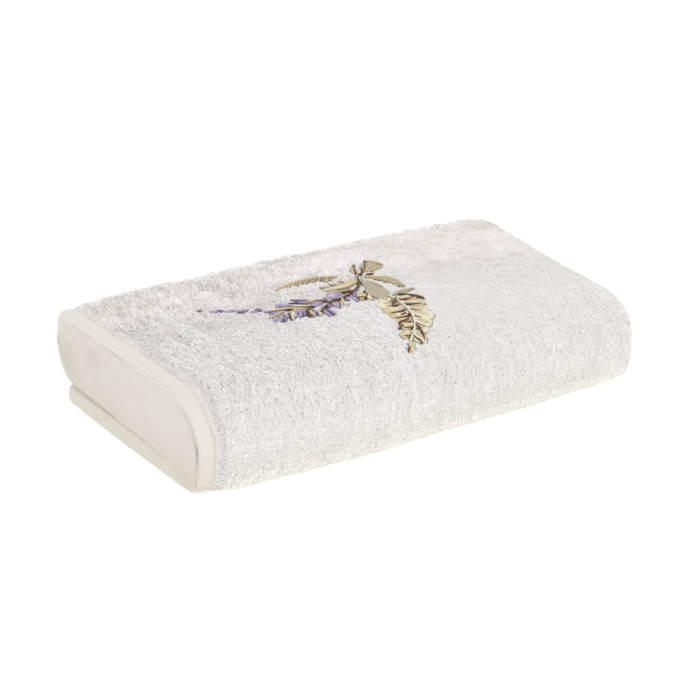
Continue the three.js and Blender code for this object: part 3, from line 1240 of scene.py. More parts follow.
    def _bent(self, at: tuple[Array, Array], ways: tuple[Array, Array], height: Array) -> tuple[Array, Array]:
        """The middles and tips of tufts, whose upper halves lean further than their lower ones.

        A leaning tuft is longer, so that it keeps its height, up to the longest.

        Args:
            at: The tufts' roots, and the normals of the cloth there.
            ways: The unit ways of their lower and upper halves.
            height: Their heights.

        Returns:
            The places of their middles and of their tips.
        """
        (root, normal), (lower, upper), half = at, ways, self.ring_share
        upright = (lower * normal).sum(1) * half + (upper * normal).sum(1) * (1 - half)
        length = height / np.maximum(upright, self.least_upright)
        length = np.minimum(length, self.longest * height / self.tuft_height)
        middle = root - normal * self.root_depth + lower * (length * half + self.root_depth)[:, None]
        return middle, middle + upper * (length * (1 - half))[:, None]

    def _ring(self, middle: Array, way: Array, across: Array, rough: Array, rng: Random) -> list[Array]:
        """The three points round each tuft's middle, square to its way, with a random spin.

        Args:
            middle: The tufts' middles.
            way: The unit ways of their lower halves.
            across: Unit ways square to those.
            rough: How rough the pile is there.
            rng: Draws the radius and the spin.

        Returns:
            The first, second and third points of all tufts.
        """
        radius = self.tuft_radius * rng.uniform(*self.radius_spread, len(middle))
        radius = radius * (self.calm_width - self.rough_loss * rough)
        third = np.cross(way, across)
        loose = self.calm_spin + (1 - self.calm_spin) * rough
        spin = rng.normal(0, self.spin_jitter, len(middle)) * loose - math.pi / 6
        ring = []
        for step in range(3):
            angle = spin + step * 2 * math.pi / 3
            out = across * np.cos(angle)[:, None] + third * np.sin(angle)[:, None]
            ring.append(middle + out * radius[:, None])
        return ring

    def _rough(self, x: Array, s: Array) -> Array:
        """How rough the pile is, from 0 to 1: most at the top's left, calm on the front and the back."""
        on_back = smooth(s, *self.calm_around)
        left = smooth(x, *self.rough_along) * smooth(s, *self.rough_around)
        return self.least_rough + (1 - self.least_rough) * left * (1 - self.calm_back * on_back)

    def _height(self, x: Array, s: Array, forms: tuple[Array, ...], rng: Random) -> Array:
        """How high each tuft stands.

        It is the tuft's height times a factor for each form. The back's tufts are taller and less
        even, and those by the hem and where the pile ends are shorter.

        Args:
            x: Places along the pack.
            s: Places along the wrap.
            forms: How far each tuft is from its small and its large clump's border, its streak
                and its dip.
            rng: Draws each tuft's own part.

        Returns:
            The heights.
        """
        core, heart, streak, dip = forms
        back = smooth(s, *self.back_around)
        height = self.tuft_height
        for factor in (
            grow(self.small_border[0], core, 0, self.small_border[1]),
            1 + self.streak_height * streak,
            grow(self.large_border[0], heart, 0, self.large_border[1]),
            1 - self.dip_depth * dip,
            rng.uniform(*self.height_spread, len(x)),
            self.height_at_border + (1 - self.height_at_border) * self.skin.shows(s),
            1 + back * (self.back_taller + self.back_uneven.at(x, s)),
            grow(self.height_by_hem, x - self.skin.hem_edge(s), -self.overhang, self.hem_reach),
        ):
            height = height * factor
        return height

    def _painted_shading_and_tone(self, x: Array, s: Array, streak: Array, rough: Array, dip: Array, rng: Random) -> Array:
        """Each tuft's part of the way from the colour of painted shade to the bright one.

        It is a shade with painted light and shade in soft steps over the cloth and along streaks, painted
        shade in ripples and dips, and a random part, less a painted shadow beside the hem.
        """
        # Painted light and shade over parts of the pile, less painted shade in the ripples.
        total = self.shade + sum(one.at(x, s) for one in self.painted_light_and_shade) - self.ripple_shade * self._ripple(x, s)
        own = rng.uniform(-self.shade_spread, self.shade_spread, len(x))
        off, width = self.hem_shadow
        by_hem = np.exp(-(((x - self.skin.hem_edge(s) - off) / width) ** 2))
        # Painted light and shade along streaks, painted shade in dips, a random part, and a painted shadow
        # beside the hem.
        total = total + self.streak_shade * streak + rough * (own - self.dip_shade * dip) - by_hem
        return np.clip(total, 0, 1)

    def _ripple(self, x: Array, s: Array) -> Array:
        """Short upright ripples of painted shade where the top turns into the front, from 0 to 1."""
        below, above = smooth(-s, *self.ripple_starts), smooth(s, *self.ripple_ends)
        return np.maximum(self.ripple.at(x, s), 0) * below * above

    def _dips(self, x: Array, s: Array) -> Array:
        """How much the pile parts, from 0 to 1, in small scattered dips that are deeper on the left.

        Each dip is a bell round one of the scattered points, longer along the wrap.
        """
        way_x, way_s, _ = clumps(x, s, *self.dip_pitch, 61)
        bend = self.dip_bend.at(x, s)
        reach_x, reach_s = self.dip_reach
        near = np.exp(-(((way_x + bend) / reach_x) ** 2) - ((way_s - bend) / reach_s) ** 2)
        patches = smooth(self.dip_patches.at(x, s), *self.dip_patch_step)
        return near * grow(self.dip_least, -x, *self.dip_along) * patches

    def _streak(self, x: Array, s: Array, lean_x: Array, lean_s: Array) -> Array:
        """Soft noise from -1 to 1 that is drawn out along the pile's lean.

        It is a weighted sum of the noise at a few places along the lean, in two sizes.
        """
        way_x, way_s = lean_x + self.streak_lean[0], lean_s + self.streak_lean[1]
        size = np.maximum(np.hypot(way_x, way_s), 0.1)
        total = np.zeros(len(x))
        for scale, part in self.streak_parts:
            for step in range(-3, 4):
                reach = step * scale * self.streak_step / size
                at_x, at_s = x + way_x * reach, s + way_s * reach
                total = total + part * noise(at_x, at_s, scale * self.streak_size, 81)
        return np.clip(total, -1, 1)

    def _lean(self, x: Array, s: Array, normal: Array) -> tuple[Array, Array]:
        """How far the tufts lean along the wrap and along the pack, in parts of their height.

        The pile leans forwards and down on the front and the top's front half, less further back,
        and down on the back. Soft noise turns it from place to place.
        """
        forward = self.front_lean + self.lean_eases * smooth(s, *self.lean_around)
        backward = self.back_lean * smooth(normal[:, 1], *self.backward_starts)
        around = forward * (1 - smooth(normal[:, 1], *self.forward_ends)) + backward
        along = self.left_lean.at(-x, -s)
        for one in self.sways_around:
            around = around + one.at(x, s)
        for one in self.sways_along:
            along = along + one.at(x, s)
        return around, along


# The stitched sprig


class Thread(Enum):
    """The threads of the sprig, with the piece that each one makes and its colour."""

    GOLD = ("sprig_gold", (0.69, 0.56, 0.34))
    CREAM = ("sprig_cream", (0.84, 0.77, 0.61))
    TAUPE = ("sprig_taupe", (0.49, 0.42, 0.29))
    BROWN = ("sprig_brown", (0.165, 0.083, 0.036))
    LILAC = ("sprig_lilac", (0.46, 0.40, 0.57))
    PLUM = ("sprig_plum", (0.26, 0.21, 0.37))


@dataclass
class Cover:
    """A fine raster of the places that the stitching covers, on the cloth laid flat."""

    half: float = 175
    cell: float = 0.5

    def __post_init__(self) -> None:
        """Start with nothing covered."""
        self.size = int(2 * self.half / self.cell)
        self.cells = np.zeros((self.size, self.size), bool)

    def _numbers(self, x: Array, s: Array) -> tuple[Array, Array]:
        """The raster's cells at places on the cloth."""
        column = np.clip(((x + self.half) / self.cell).astype(int), 0, self.size - 1)
        row = np.clip(((s + self.half) / self.cell).astype(int), 0, self.size - 1)
        return row, column

    def add(self, x: Array, s: Array) -> None:
        """Mark places as covered, with one cell more on each side."""
        for step_x in (-self.cell, 0, self.cell):
            for step_s in (-self.cell, 0, self.cell):
                self.cells[self._numbers(x + step_x, s + step_s)] = True

    def covers(self, x: Array, s: Array) -> Array:
        """Whether places are covered."""
        return self.cells[self._numbers(x, s)]


@dataclass(frozen=True)
class Stroke:
    """A stitched shape: a band along a bent line, with pointed, round or blunt ends.

    start and end are places on the cloth, x along the pack and s along the wrap. bend is how far
    the line's middle bows to the left of the way from start to end. width is its greatest width,
    and swell says where along it that lies: 0 for a stem of even width, otherwise the place from
    0 to 1 of a leaf's widest part. rise is the height of the thread over the cloth's face.
    """

    start: Pair
    end: Pair
    bend: float
    width: float
    thread: Thread
    swell: float = 0
    rise: float = 2
    slant: float = 0.5

    @staticmethod
    def alike(thread: Thread, swell: float, rise: float, *rows: tuple[float, ...]) -> list["Stroke"]:
        """Strokes that are alike, from rows of x and s at the start and at the end, bend and width."""
        return [Stroke(row[:2], row[2:4], row[4], row[5], thread, swell, rise) for row in rows]

    def line(self, share: Array) -> Array:
        """Points of the bent line, a parabola, at parts of its length."""
        start, end = np.array(self.start), np.array(self.end)
        way = end - start
        left = np.array([-way[1], way[0]]) / max(float(np.hypot(*way)), 1e-6)
        bow = 4 * share * (1 - share) * self.bend
        return start + way * share[:, None] + left * bow[:, None]

    def spot(self, share: float) -> Pair:
        """The place at one part of the line."""
        return tuple(self.line(np.array([share]))[0])

    def half_width(self, share: Array) -> Array:
        """Half the band's width along it.

        A leaf's is a sine hump whose top is moved to the widest part. A stem's is even, with
        rounded ends.
        """
        if self.swell > 0:
            power = math.log(0.5) / math.log(self.swell)
            return self.width / 2 * np.sin(math.pi * np.clip(share, 0, 1) ** power) ** 0.8
        length = math.dist(self.start, self.end)
        near = np.minimum(share, 1 - share) * length / (self.width / 2)
        return self.width / 2 * np.sqrt(1 - (1 - np.clip(near, 0, 1)) ** 2)


@dataclass
class Sprig:
    """A lavender stalk, a leafy spray and a few broad leaves, stitched on the middle of the top.

    around is the least number of points round a stroke, how many more it gets for each millimetre
    of its width, and the most. A stroke is crowned, less so the broader it is, has small ridges
    along its threads and is sunk into the cloth underneath.
    """

    skin: Skin
    step: float = 0.5
    lift: float = 0.45
    crown: float = 0.9
    flatness: float = 0.4
    fullness: float = 0.7
    thread_pitch: float = 1.3
    thread_ridge: float = 0.14
    around: tuple[float, float, float] = (8, 1.45, 76)
    fewest_steps: int = 6
    end_share: float = 0.25
    sunk: float = 1.2
    narrow: float = 0.6
    broad: Pair = (3, 8)
    cover: Cover = field(default_factory=Cover)

    def strokes(self) -> list[Stroke]:
        """All the stitched shapes of the sprig."""
        return [*self._stalks(), *self._broad_leaves(), *self._long_leaf(), *self._lavender(), *self._spray()]

    def _stalks(self) -> list[Stroke]:
        """The brown stalks that meet at the middle, the sprout, and the fan leaf above them."""
        brown, gold, taupe, cream = Thread.BROWN, Thread.GOLD, Thread.TAUPE, Thread.CREAM
        fork = (27, 30.5)
        made = [
            Stroke((29, 32), (44, 49), -0.8, 6, taupe, 0.75, 2.1, 3),
            Stroke((29.5, 31.5), (48, 45), 0, 8, taupe, 0.75, 2.15, 3),
            Stroke((29.5, 31), (50, 39.5), 0.6, 7, taupe, 0.75, 2.1, 3),
            Stroke((29, 30), (38, 29.5), 0.3, 2.4, cream, 0.5, 2.4),
            Stroke((31, 29), (37, 28), 0.3, 1.2, brown, 0.5, 2.5),
            Stroke(fork, (44.5, 51.5), -1.6, 0.95, brown, 0, 2.5),
            Stroke((44, 51), (51.5, 39), 1.8, 2.2, gold, 0.5, 2.4),
            Stroke((25, 33), (31, 46), 0.8, 2.6, gold, 0.6, 2.3),
            Stroke((26, 31.5), (33.5, 48.5), 1, 1.2, brown, 0, 2.6),
            Stroke((6, 6), (14, 12.5), -0.6, 1.3, brown, 0, 2.6),
            Stroke((14, 12.5), (20.5, 20.5), -0.6, 1.3, brown, 0, 2.65),
            Stroke((20.5, 20), fork, 1.2, 1.6, brown, 0, 2.7),
            Stroke((21.5, 24), (26, 32.5), -0.6, 3, cream, 0.5, 2.3),
        ]
        for number, reach in enumerate((10, 12, 11)):
            far = (40.5 + 3.3 * number, 46 - 3.6 * number)
            near = (far[0] - 0.75 * reach, far[1] - 0.62 * reach)
            made.append(Stroke(near, far, 0.3, 0.8, gold, 0, 2.5))
        return made

    def _broad_leaves(self) -> list[Stroke]:
        """The leaves on the right: a broad one, a bent one, and a small cup beside the stalk."""
        taupe, gold, cream, brown = Thread.TAUPE, Thread.GOLD, Thread.CREAM, Thread.BROWN
        bent = Stroke((27.5, 25.5), (41.5, -2), 5.6, 5.6, taupe, 0.6, 2.2, 2)
        made = [
            Stroke((21.5, 22.5), (18, -14.5), 2.6, 13.5, taupe, 0.64, 2.2, 3),
            Stroke((23.5, 22.5), (29, 5), 2, 1.2, cream, 0.5, 2.5),
            Stroke((17.5, 5), (10.5, -11.5), -2.2, 3, cream, 0.6, 2.35),
            Stroke((18.5, 5.5), (12, -12), -2, 1, gold, 0.6, 2.5),
            bent,
            Stroke((28, 26), (43, -1), 7, 1.4, gold, 0.4, 2.45),
            Stroke((11.5, 7.5), (6, -7.5), -0.6, 7, gold, 0.6, 2.2),
            Stroke((8, 6), (3.5, -3), -0.8, 3.2, Thread.PLUM, 0.5, 2.4),
            Stroke((13.5, 5), (8, -7.5), 1.6, 1.8, brown, 0.6, 2.6),
            Stroke((8.5, -7.5), (3.5, -3.5), -0.4, 1.1, brown, 0, 2.5),
        ]
        count = 9
        for number in range(count):
            start = bent.spot(0.2 + 0.66 * number / (count - 1))
            reach = 0.9 * (2.6 + math.sin(2.4 * number))
            thread = taupe if number % 3 else gold
            made.append(Stroke(start, (start[0] - reach, start[1] - reach), 0.2, 1, thread, 0, 2.25))
        return made

    def _long_leaf(self) -> list[Stroke]:
        """The pale leaf on the left: a gold far edge, slanting open stitches and a solid near edge."""
        upper = Stroke((12.5, 36.5), (-34, 39.5), -4.6, 2, Thread.GOLD, 0.55, 2.5)
        leaf = [
            upper,
            Stroke((8, 36.5), (-24, 39), -3.4, 0.9, Thread.TAUPE, 0.5, 2.5),
            Stroke((21.5, 25.5), (-7, 18.5), 1.8, 7, Thread.GOLD, 0.3, 2.3),
            Stroke((16, 20), (-10, 20), 1.6, 2.2, Thread.CREAM, 0.5, 2.35),
            Stroke((20, 20), (0, 15.5), 0.8, 1, Thread.TAUPE, 0.4, 2.5),
        ]
        threads = (Thread.TAUPE, Thread.CREAM, Thread.GOLD, Thread.TAUPE, Thread.CREAM)
        count = 17
        for number in range(count):
            share = 0.08 + 0.66 * number / (count - 1)
            top = upper.spot(share)
            reach = (5.2 + 1.2 * math.sin(1.7 * number)) * math.sin(math.pi * (0.42 + 0.5 * share))
            thread = threads[number % len(threads)]
            leaf.append(Stroke(top, (top[0] - reach, top[1] - 1.05 * reach), 0.4, 0.75, thread, 0, 2.3))
        for number in range(5):
            start = (11 - 4.2 * number, 24.5 - 0.6 * number)
            end = (start[0] - 3, start[1] + 3.5)
            leaf.append(Stroke(start, end, 0.3, 0.8, Thread.CREAM if number % 2 else Thread.TAUPE, 0, 2.7))
        return leaf

    def _lavender(self) -> list[Stroke]:
        """The lavender: a bent stalk with fans of petals on both sides, then a thin broken tail.

        A floret is given by the place of its first petal, its petals' length and heading in
        degrees, 0 along the pack and 90 along the wrap, and their threads. Its petals stand beside
        each other and open a little, like a fan.
        """
        gold, cream, brown, lilac, plum = Thread.GOLD, Thread.CREAM, Thread.BROWN, Thread.LILAC, Thread.PLUM
        rng = np.random.default_rng(5)
        made = []
        near = (
            (1, 2.5, 10.5, -108, (lilac, plum, gold)),
            (-9, -2, 10, -112, (cream, lilac)),
            (-16, -1.5, 9, -116, (lilac, plum, lilac)),
            (-24, -7.5, 11, -112, (plum, lilac, cream, lilac)),
            (-32, -3, 12, -114, (lilac, gold, plum, lilac)),
            (-44, -1, 10, -116, (lilac, cream)),
            (-50, -1, 11.5, -116, (cream, plum, lilac, lilac)),
        )
        far = (
            (0, 9, 13, 156, (lilac, lilac, lilac)),
            (-17, 6, 11, 146, (gold, lilac)),
            (-22, 1, 12, 150, (lilac,)),
            (-25, 10.5, 12, 152, (plum, lilac)),
            (-28, 2.5, 13, 148, (cream,)),
            (-31, -1, 20, 157, (gold, lilac)),
            (-37, 8, 14, 155, (lilac,)),
            (-46, 5, 13, 162, (cream, lilac)),
        )
        for florets, apart, fan, width in ((near, (-3.1, 0.2), 8, 2.5), (far, (-2.6, -3.2), -3, 2.7)):
            for x, s, reach, heading, threads in florets:
                for number, thread in enumerate(threads):
                    turn = math.radians(heading - fan * (number - 0.5 * len(threads)) + rng.uniform(-15, 15))
                    start = (x + apart[0] * number, s + apart[1] * number)
                    size = reach * rng.uniform(0.65, 1.12)
                    end = (start[0] + size * math.cos(turn), start[1] + size * math.sin(turn))
                    wide = width * rng.uniform(0.75, 1.25)
                    made.append(Stroke(start, end, 0.05 * size, wide, thread, 0.6, 2.15 + 0.05 * number))
        made.extend(Stroke.alike(
            brown, 0.5, 2.55,
            (13, 10.5, 2.5, 4.5, -0.4, 1.3), (3, 4.5, -8, -0.5, -0.6, 1.2),
            (-7.5, -0.5, -16, -0.5, -0.9, 1.2), (-15.5, -0.5, -25, 7.5, -0.8, 1),
            (8, 9, -4, 11.5, 0.6, 0.9), (8, 12, -2, 14.5, 0.5, 0.9),
            (-11, -2.5, -15.5, -12, 0.5, 1.1), (-16, -2, -25, -5.5, 0.5, 1.2),
            (-22, -4, -34, -12, 0.9, 1.2), (-29, 2.5, -41, -6.5, 0.8, 1.4),
            (-36, -3, -41, -14, 0.6, 1.7), (-28, 4.5, -40, 13.5, 0.8, 1),
            (-28, 0.5, -52, 11, 1.1, 1), (-44, 2, -59, 7, 0.6, 1.1), (-50, -1.5, -54, -12.5, 0.6, 1.5),
        ))
        ends = (7.5, 10.5, -5, 13.5, 0.8, 2), (-51, 2, -63, -0.5, 0.5, 1.4)
        made.extend(Stroke.alike(gold, 0.5, 2.55, *ends))
        made.extend(Stroke.alike(cream, 0.5, 2.55, (-5, 7, -13, 9.5, 0.4, 0.9)))
        for number in range(9):
            x, s = -56 - 3.9 * number, 9 + 2.1 * number
            if number % 2:
                s = s + 4 * (1 - 0.09 * number)
            thread = plum if number % 3 == 1 else lilac
            made.append(Stroke((x, s), (x - 4.6, s + 2.3), 0.3, 1.5 - 0.06 * number, thread, 0.5, 2.3))
        made.append(Stroke((-95, 33.5), (-98, 35), 0.2, 1.1, plum, 0.5, 2.3))
        return made

    def _spray(self) -> list[Stroke]:
        """The leafy spray: leaves along a bent stem, shrinking towards its tip.

        A leaf is given by its place along the stem, the side it stands on, its length and width,
        and how far it points ahead.
        """
        brown = Thread.BROWN
        stem = Stroke((25, -10), (-3.5, -78), 9.5, 1.6, Thread.CREAM, 0, 2.6)
        made = [stem, Stroke((27, -11), (47, -8), 0.8, 3.2, Thread.TAUPE, 0.35, 2.2)]
        leaves = (
            (0.02, -1, 11, 7.5, 0.30), (0.06, 1, 17, 5, 0.25), (0.14, -1, 16.5, 8, 0.05),
            (0.15, 1, 17, 5, 0.60), (0.26, 1, 16, 6.5, 0.85), (0.29, -1, 18, 7.5, 0.15),
            (0.35, 1, 20, 10, 1.30), (0.42, -1, 15.5, 7, 0.25), (0.52, 1, 16, 8.5, 1.30),
            (0.55, -1, 13, 6.5, 0.35), (0.68, 1, 12.5, 7, 1.20), (0.70, -1, 10.5, 6, 0.45),
            (0.83, 1, 12, 6, 1.10), (0.87, -1, 8.5, 5, 0.50),
        )
        rng = np.random.default_rng(8)
        for number, leaf in enumerate(leaves):
            made.extend(self._spray_leaf(stem, number, leaf, rng))
        made.extend(Stroke.alike(
            brown, 0.5, 3,
            (27.5, -15, 16, -27, 0.4, 2.2), (31, -12, 42.5, -27, 0.8, 1.3), (13, -60, 12, -69, -1, 1.7),
            (10.5, -66, 5.5, -81, 1, 1.7), (1, -76.5, 3, -83, 0.5, 1.3),
            (2.5, -55.5, 12.5, -52.5, 0.8, 1.5), (-2, -62, 4.5, -58.5, -0.6, 1.5),
        ))
        made.append(Stroke((-3, -77), (-9, -86), 0.8, 3.4, Thread.GOLD, 0.5, 2.3))
        made.append(Stroke((-6.5, -81.5), (-9.5, -84.5), 0.4, 1.8, brown, 0.5, 2.5))
        return made

    @staticmethod
    def _spray_leaf(stem: Stroke, number: int, leaf: tuple[float, ...], rng: Random) -> list[Stroke]:
        """One leaf of the spray.

        It is a fill with a paler stroke on its back half, a thin brown line along its front edge
        and a vein, which is bold and brown on two leaves.

        Args:
            stem: The stem that it stands on.
            number: Its number from the stem's root. Each leaf lies a little over the one before.
            leaf: Its place, side, length, width and how far it points ahead.
            rng: Draws the ends of its strokes.

        Returns:
            Its strokes.
        """
        share, side, reach, width, ahead = leaf
        place = stem.line(np.array([share, share + 0.01]))
        way = unit(place[1] - place[0])
        out = unit(np.array([-way[1], way[0]]) * side * 0.85 + way * ahead)
        front = unit(way - out * float(way @ out))
        root = place[0] + out * 1.2

        def spot(outwards: float, forwards: float) -> Pair:
            """The place so far out from the leaf's root and so far towards its front edge."""
            return tuple(root + out * outwards + front * forwards)

        fill, pale = (Thread.GOLD, Thread.CREAM) if number % 2 else (Thread.CREAM, Thread.GOLD)
        vein, line = (Thread.BROWN, 1.8) if number in (7, 9) else (pale, 1.2)
        rise = 2 + 0.03 * number
        back_start = spot(0.2 * reach, -0.22 * width)
        back_end = spot(reach * rng.uniform(0.6, 0.9), -0.1 * width)
        edge_start = spot(reach * rng.uniform(0, 0.3), 0.55 * width)
        edge_end = spot(reach * rng.uniform(0.7, 1.02), 0.5 * width)
        edge = rng.uniform(0.8, 1.5)
        vein_end = spot(reach * rng.uniform(0.5, 0.75), 0.8)
        return [
            Stroke(spot(0, 0), spot(reach, 0), -1.2 * side, 1.6 * width, fill, 0.66, rise, 2.5),
            Stroke(back_start, back_end, -0.9 * side, 0.5 * width, pale, 0.6, rise + 0.1),
            Stroke(edge_start, edge_end, -1.3 * side, edge, Thread.BROWN, 0.6, rise + 0.25),
            Stroke(spot(0.15 * reach, -0.05 * width), vein_end, -0.8 * side, line, vein, 0.45, rise + 0.35),
        ]

    def build(self, materials: dict[Thread, Material]) -> list[Piece]:
        """Make one piece for each thread colour."""
        parts: dict[Thread, list[tuple[Array, Array, Array]]] = {thread: [] for thread in Thread}
        for stroke in self.strokes():
            parts[stroke.thread].append(self._stitch(stroke))
        made = []
        for thread, shapes in parts.items():
            counts = np.cumsum([0] + [len(points) for points, _, _ in shapes])
            points = np.concatenate([shape[0] for shape in shapes])
            faces = np.concatenate([shape[1] + start for shape, start in zip(shapes, counts)])
            uv = np.concatenate([shape[2] for shape in shapes])
            made.append(new_piece(thread.value[0], points, faces, uv, materials[thread]))
        return made

    def _stitch(self, stroke: Stroke) -> tuple[Array, Array, Array]:
        """Make one stitched shape as a closed flattened tube, and mark the cloth under it.

        Its section is half an ellipse over the cloth with a flat underside, carried along the
        stroke's line. The threads run across it at a slant, as small ridges of a cosine.

        Args:
            stroke: The shape.

        Returns:
            Its points, its faces and its uv, which run along and across the stroke in metres.
        """
        length = math.dist(stroke.start, stroke.end) + abs(stroke.bend)
        count = max(int(length / self.step), self.fewest_steps)
        even = np.linspace(0, 1, count + 1)
        share = (1 - np.cos(even * math.pi)) / 2 * self.end_share + even * (1 - self.end_share)
        line = stroke.line(share)
        way = unit(np.gradient(line, axis=0))
        left = np.stack([-way[:, 1], way[:, 0]], -1)
        half = stroke.half_width(share)
        least, per_width, most = self.around
        around = int(min(least + per_width * stroke.width * (1 + stroke.slant), most))
        angle = np.linspace(0, 2 * math.pi, around + 1)[:-1]
        off = np.cos(angle)
        bulge = np.maximum(np.sin(angle), 0) ** self.fullness
        place = line[:, None] + left[:, None] * (half[:, None] * off)[..., None]
        along = np.cumsum(np.concatenate([[0], np.hypot(*np.diff(line, axis=0).T)]))
        run = (along[:, None] + stroke.slant * half[:, None] * off) / math.hypot(1, stroke.slant)
        ridge = self.thread_ridge * np.cos(run / self.thread_pitch * 2 * math.pi)
        ease = np.clip(half / self.narrow, 0, 1)[:, None] ** 0.5
        crown = self.crown - self.flatness * float(smooth(np.array(stroke.width), *self.broad))
        base = stroke.rise - self.crown + self.lift
        rise = base + crown * bulge * ease + np.where(bulge > 0, ridge * ease, -self.sunk)
        row, column = self.skin.spots(place[..., 0].ravel(), place[..., 1].ravel())
        ground, normal, _, _ = self.skin.at(row, column)
        points = ground + normal * rise.ravel()[:, None]
        for part in (0, 0.2, 0.4, 0.6, 0.8, 1):
            under = line[:, None] + left[:, None] * (half[:, None] * off * part)[..., None]
            self.cover.add(under[..., 0].ravel(), under[..., 1].ravel())
        numbers = np.arange(len(share) * around).reshape(len(share), around)
        faces = grid_faces(np.concatenate([numbers, numbers[:, :1]], 1))
        uv = np.stack([run, half[:, None] * off], -1).reshape(-1, 2) * MM
        return points, faces, uv


# Finishes


class Socket:
    """A value in a shader's tree, on which arithmetic adds Math nodes."""

    def __init__(self, shader: "Shader", output: bpy.types.NodeSocket) -> None:
        """Wrap a node's output."""
        self.shader = shader
        self.output = output

    def _math(self, operation: str, first: Value, second: Value) -> "Socket":
        """Join two values with a Math node."""
        return self.shader.node("ShaderNodeMath", {0: first, 1: second}, operation=operation)

    def __add__(self, other: Value) -> "Socket":
        """This plus another, either way round."""
        return self._math("ADD", self, other)

    def __sub__(self, other: Value) -> "Socket":
        """This less another."""
        return self._math("SUBTRACT", self, other)

    def __rsub__(self, other: Value) -> "Socket":
        """Another less this."""
        return self._math("SUBTRACT", other, self)

    def __mul__(self, other: Value) -> "Socket":
        """This times another, either way round."""
        return self._math("MULTIPLY", self, other)

    __radd__ = __add__
    __rmul__ = __mul__


class Shader:
    """A material's node tree, with a Principled shader to dress."""

    def __init__(self, name: str) -> None:
        """Start a material with an empty tree."""
        self.material = bpy.data.materials.new(name)
        self.material.use_nodes = True
        self.tree = self.material.node_tree
        self.tree.nodes.clear()

    def node(self, kind: str, values: dict[Any, Value], output: str | int = 0, **settings: Any) -> Socket:
        """Add a node.

        Args:
            kind: Blender's name for the node's type.
            values: The values or links of its input sockets, by name or number.
            output: The output that is wanted, by name or number.
            settings: The node's properties, which are set first.

        Returns:
            That output.
        """
        made = self.tree.nodes.new(kind)
        for name, setting in settings.items():
            setattr(made, name, setting)
        for name, value in values.items():
            if isinstance(value, Socket):
                self.tree.links.new(value.output, made.inputs[name])
            else:
                made.inputs[name].default_value = value
        return Socket(self, made.outputs[output])

    def stored(self, name: str) -> Socket:
        """A number that the piece stores for each point."""
        return self.node("ShaderNodeAttribute", {}, "Fac", attribute_name=name)

    def noise(self, where: Socket, scale: float, detail: float) -> Socket:
        """Noise at a vector."""
        return self.node("ShaderNodeTexNoise", {"Vector": where, "Scale": scale, "Detail": detail}, "Fac")

    def place(self) -> Socket:
        """The place on the piece in its own space."""
        return self.node("ShaderNodeTexCoord", {}, "Object")

    def flat_place(self, scale: tuple[float, float, float]) -> Socket:
        """The place on the cloth laid flat, stretched by a scale."""
        uv = self.node("ShaderNodeUVMap", {}, uv_map="cloth")
        return self.node("ShaderNodeVectorMath", {0: uv, 1: scale}, operation="MULTIPLY")

    def near_floor(self, top: float, most: float) -> Socket:
        """A share that rises from 0 at a height to most at the floor along a smooth step."""
        height = self.node("ShaderNodeSeparateXYZ", {0: self.place()}, "Z")
        values = {"Value": height, "From Min": top, "From Max": 0.0, "To Min": 0.0, "To Max": most}
        return self.node("ShaderNodeMapRange", values, interpolation_type="SMOOTHSTEP")

    def waves(self, direction: str, stretch: tuple[float, float, float], distortion: float) -> Socket:
        """Bands across a direction of the cloth laid flat, a little uneven."""
        values = {"Vector": self.flat_place(stretch), "Scale": 1.0, "Distortion": distortion, "Detail": 1.0}
        return self.node("ShaderNodeTexWave", values, "Fac", wave_type="BANDS", bands_direction=direction)

    def mix(self, share: Value, first: Value, second: Value) -> Socket:
        """Blend two colours."""
        values = {0: share, 6: first, 7: second}
        return self.node("ShaderNodeMix", values, 2, data_type="RGBA", clamp_factor=True)

    def bump(self, height: Socket, strength: float, distance: float) -> Socket:
        """A normal that a height bends."""
        values = {"Height": height, "Strength": strength, "Distance": distance}
        return self.node("ShaderNodeBump", values, "Normal")

    def finish(self, values: dict[str, Value]) -> Material:
        """Dress the material with a Principled shader and return it."""
        surface = self.node("ShaderNodeBsdfPrincipled", values, "BSDF")
        output = self.tree.nodes.new("ShaderNodeOutputMaterial")
        self.tree.links.new(surface.output, output.inputs["Surface"])
        return self.material


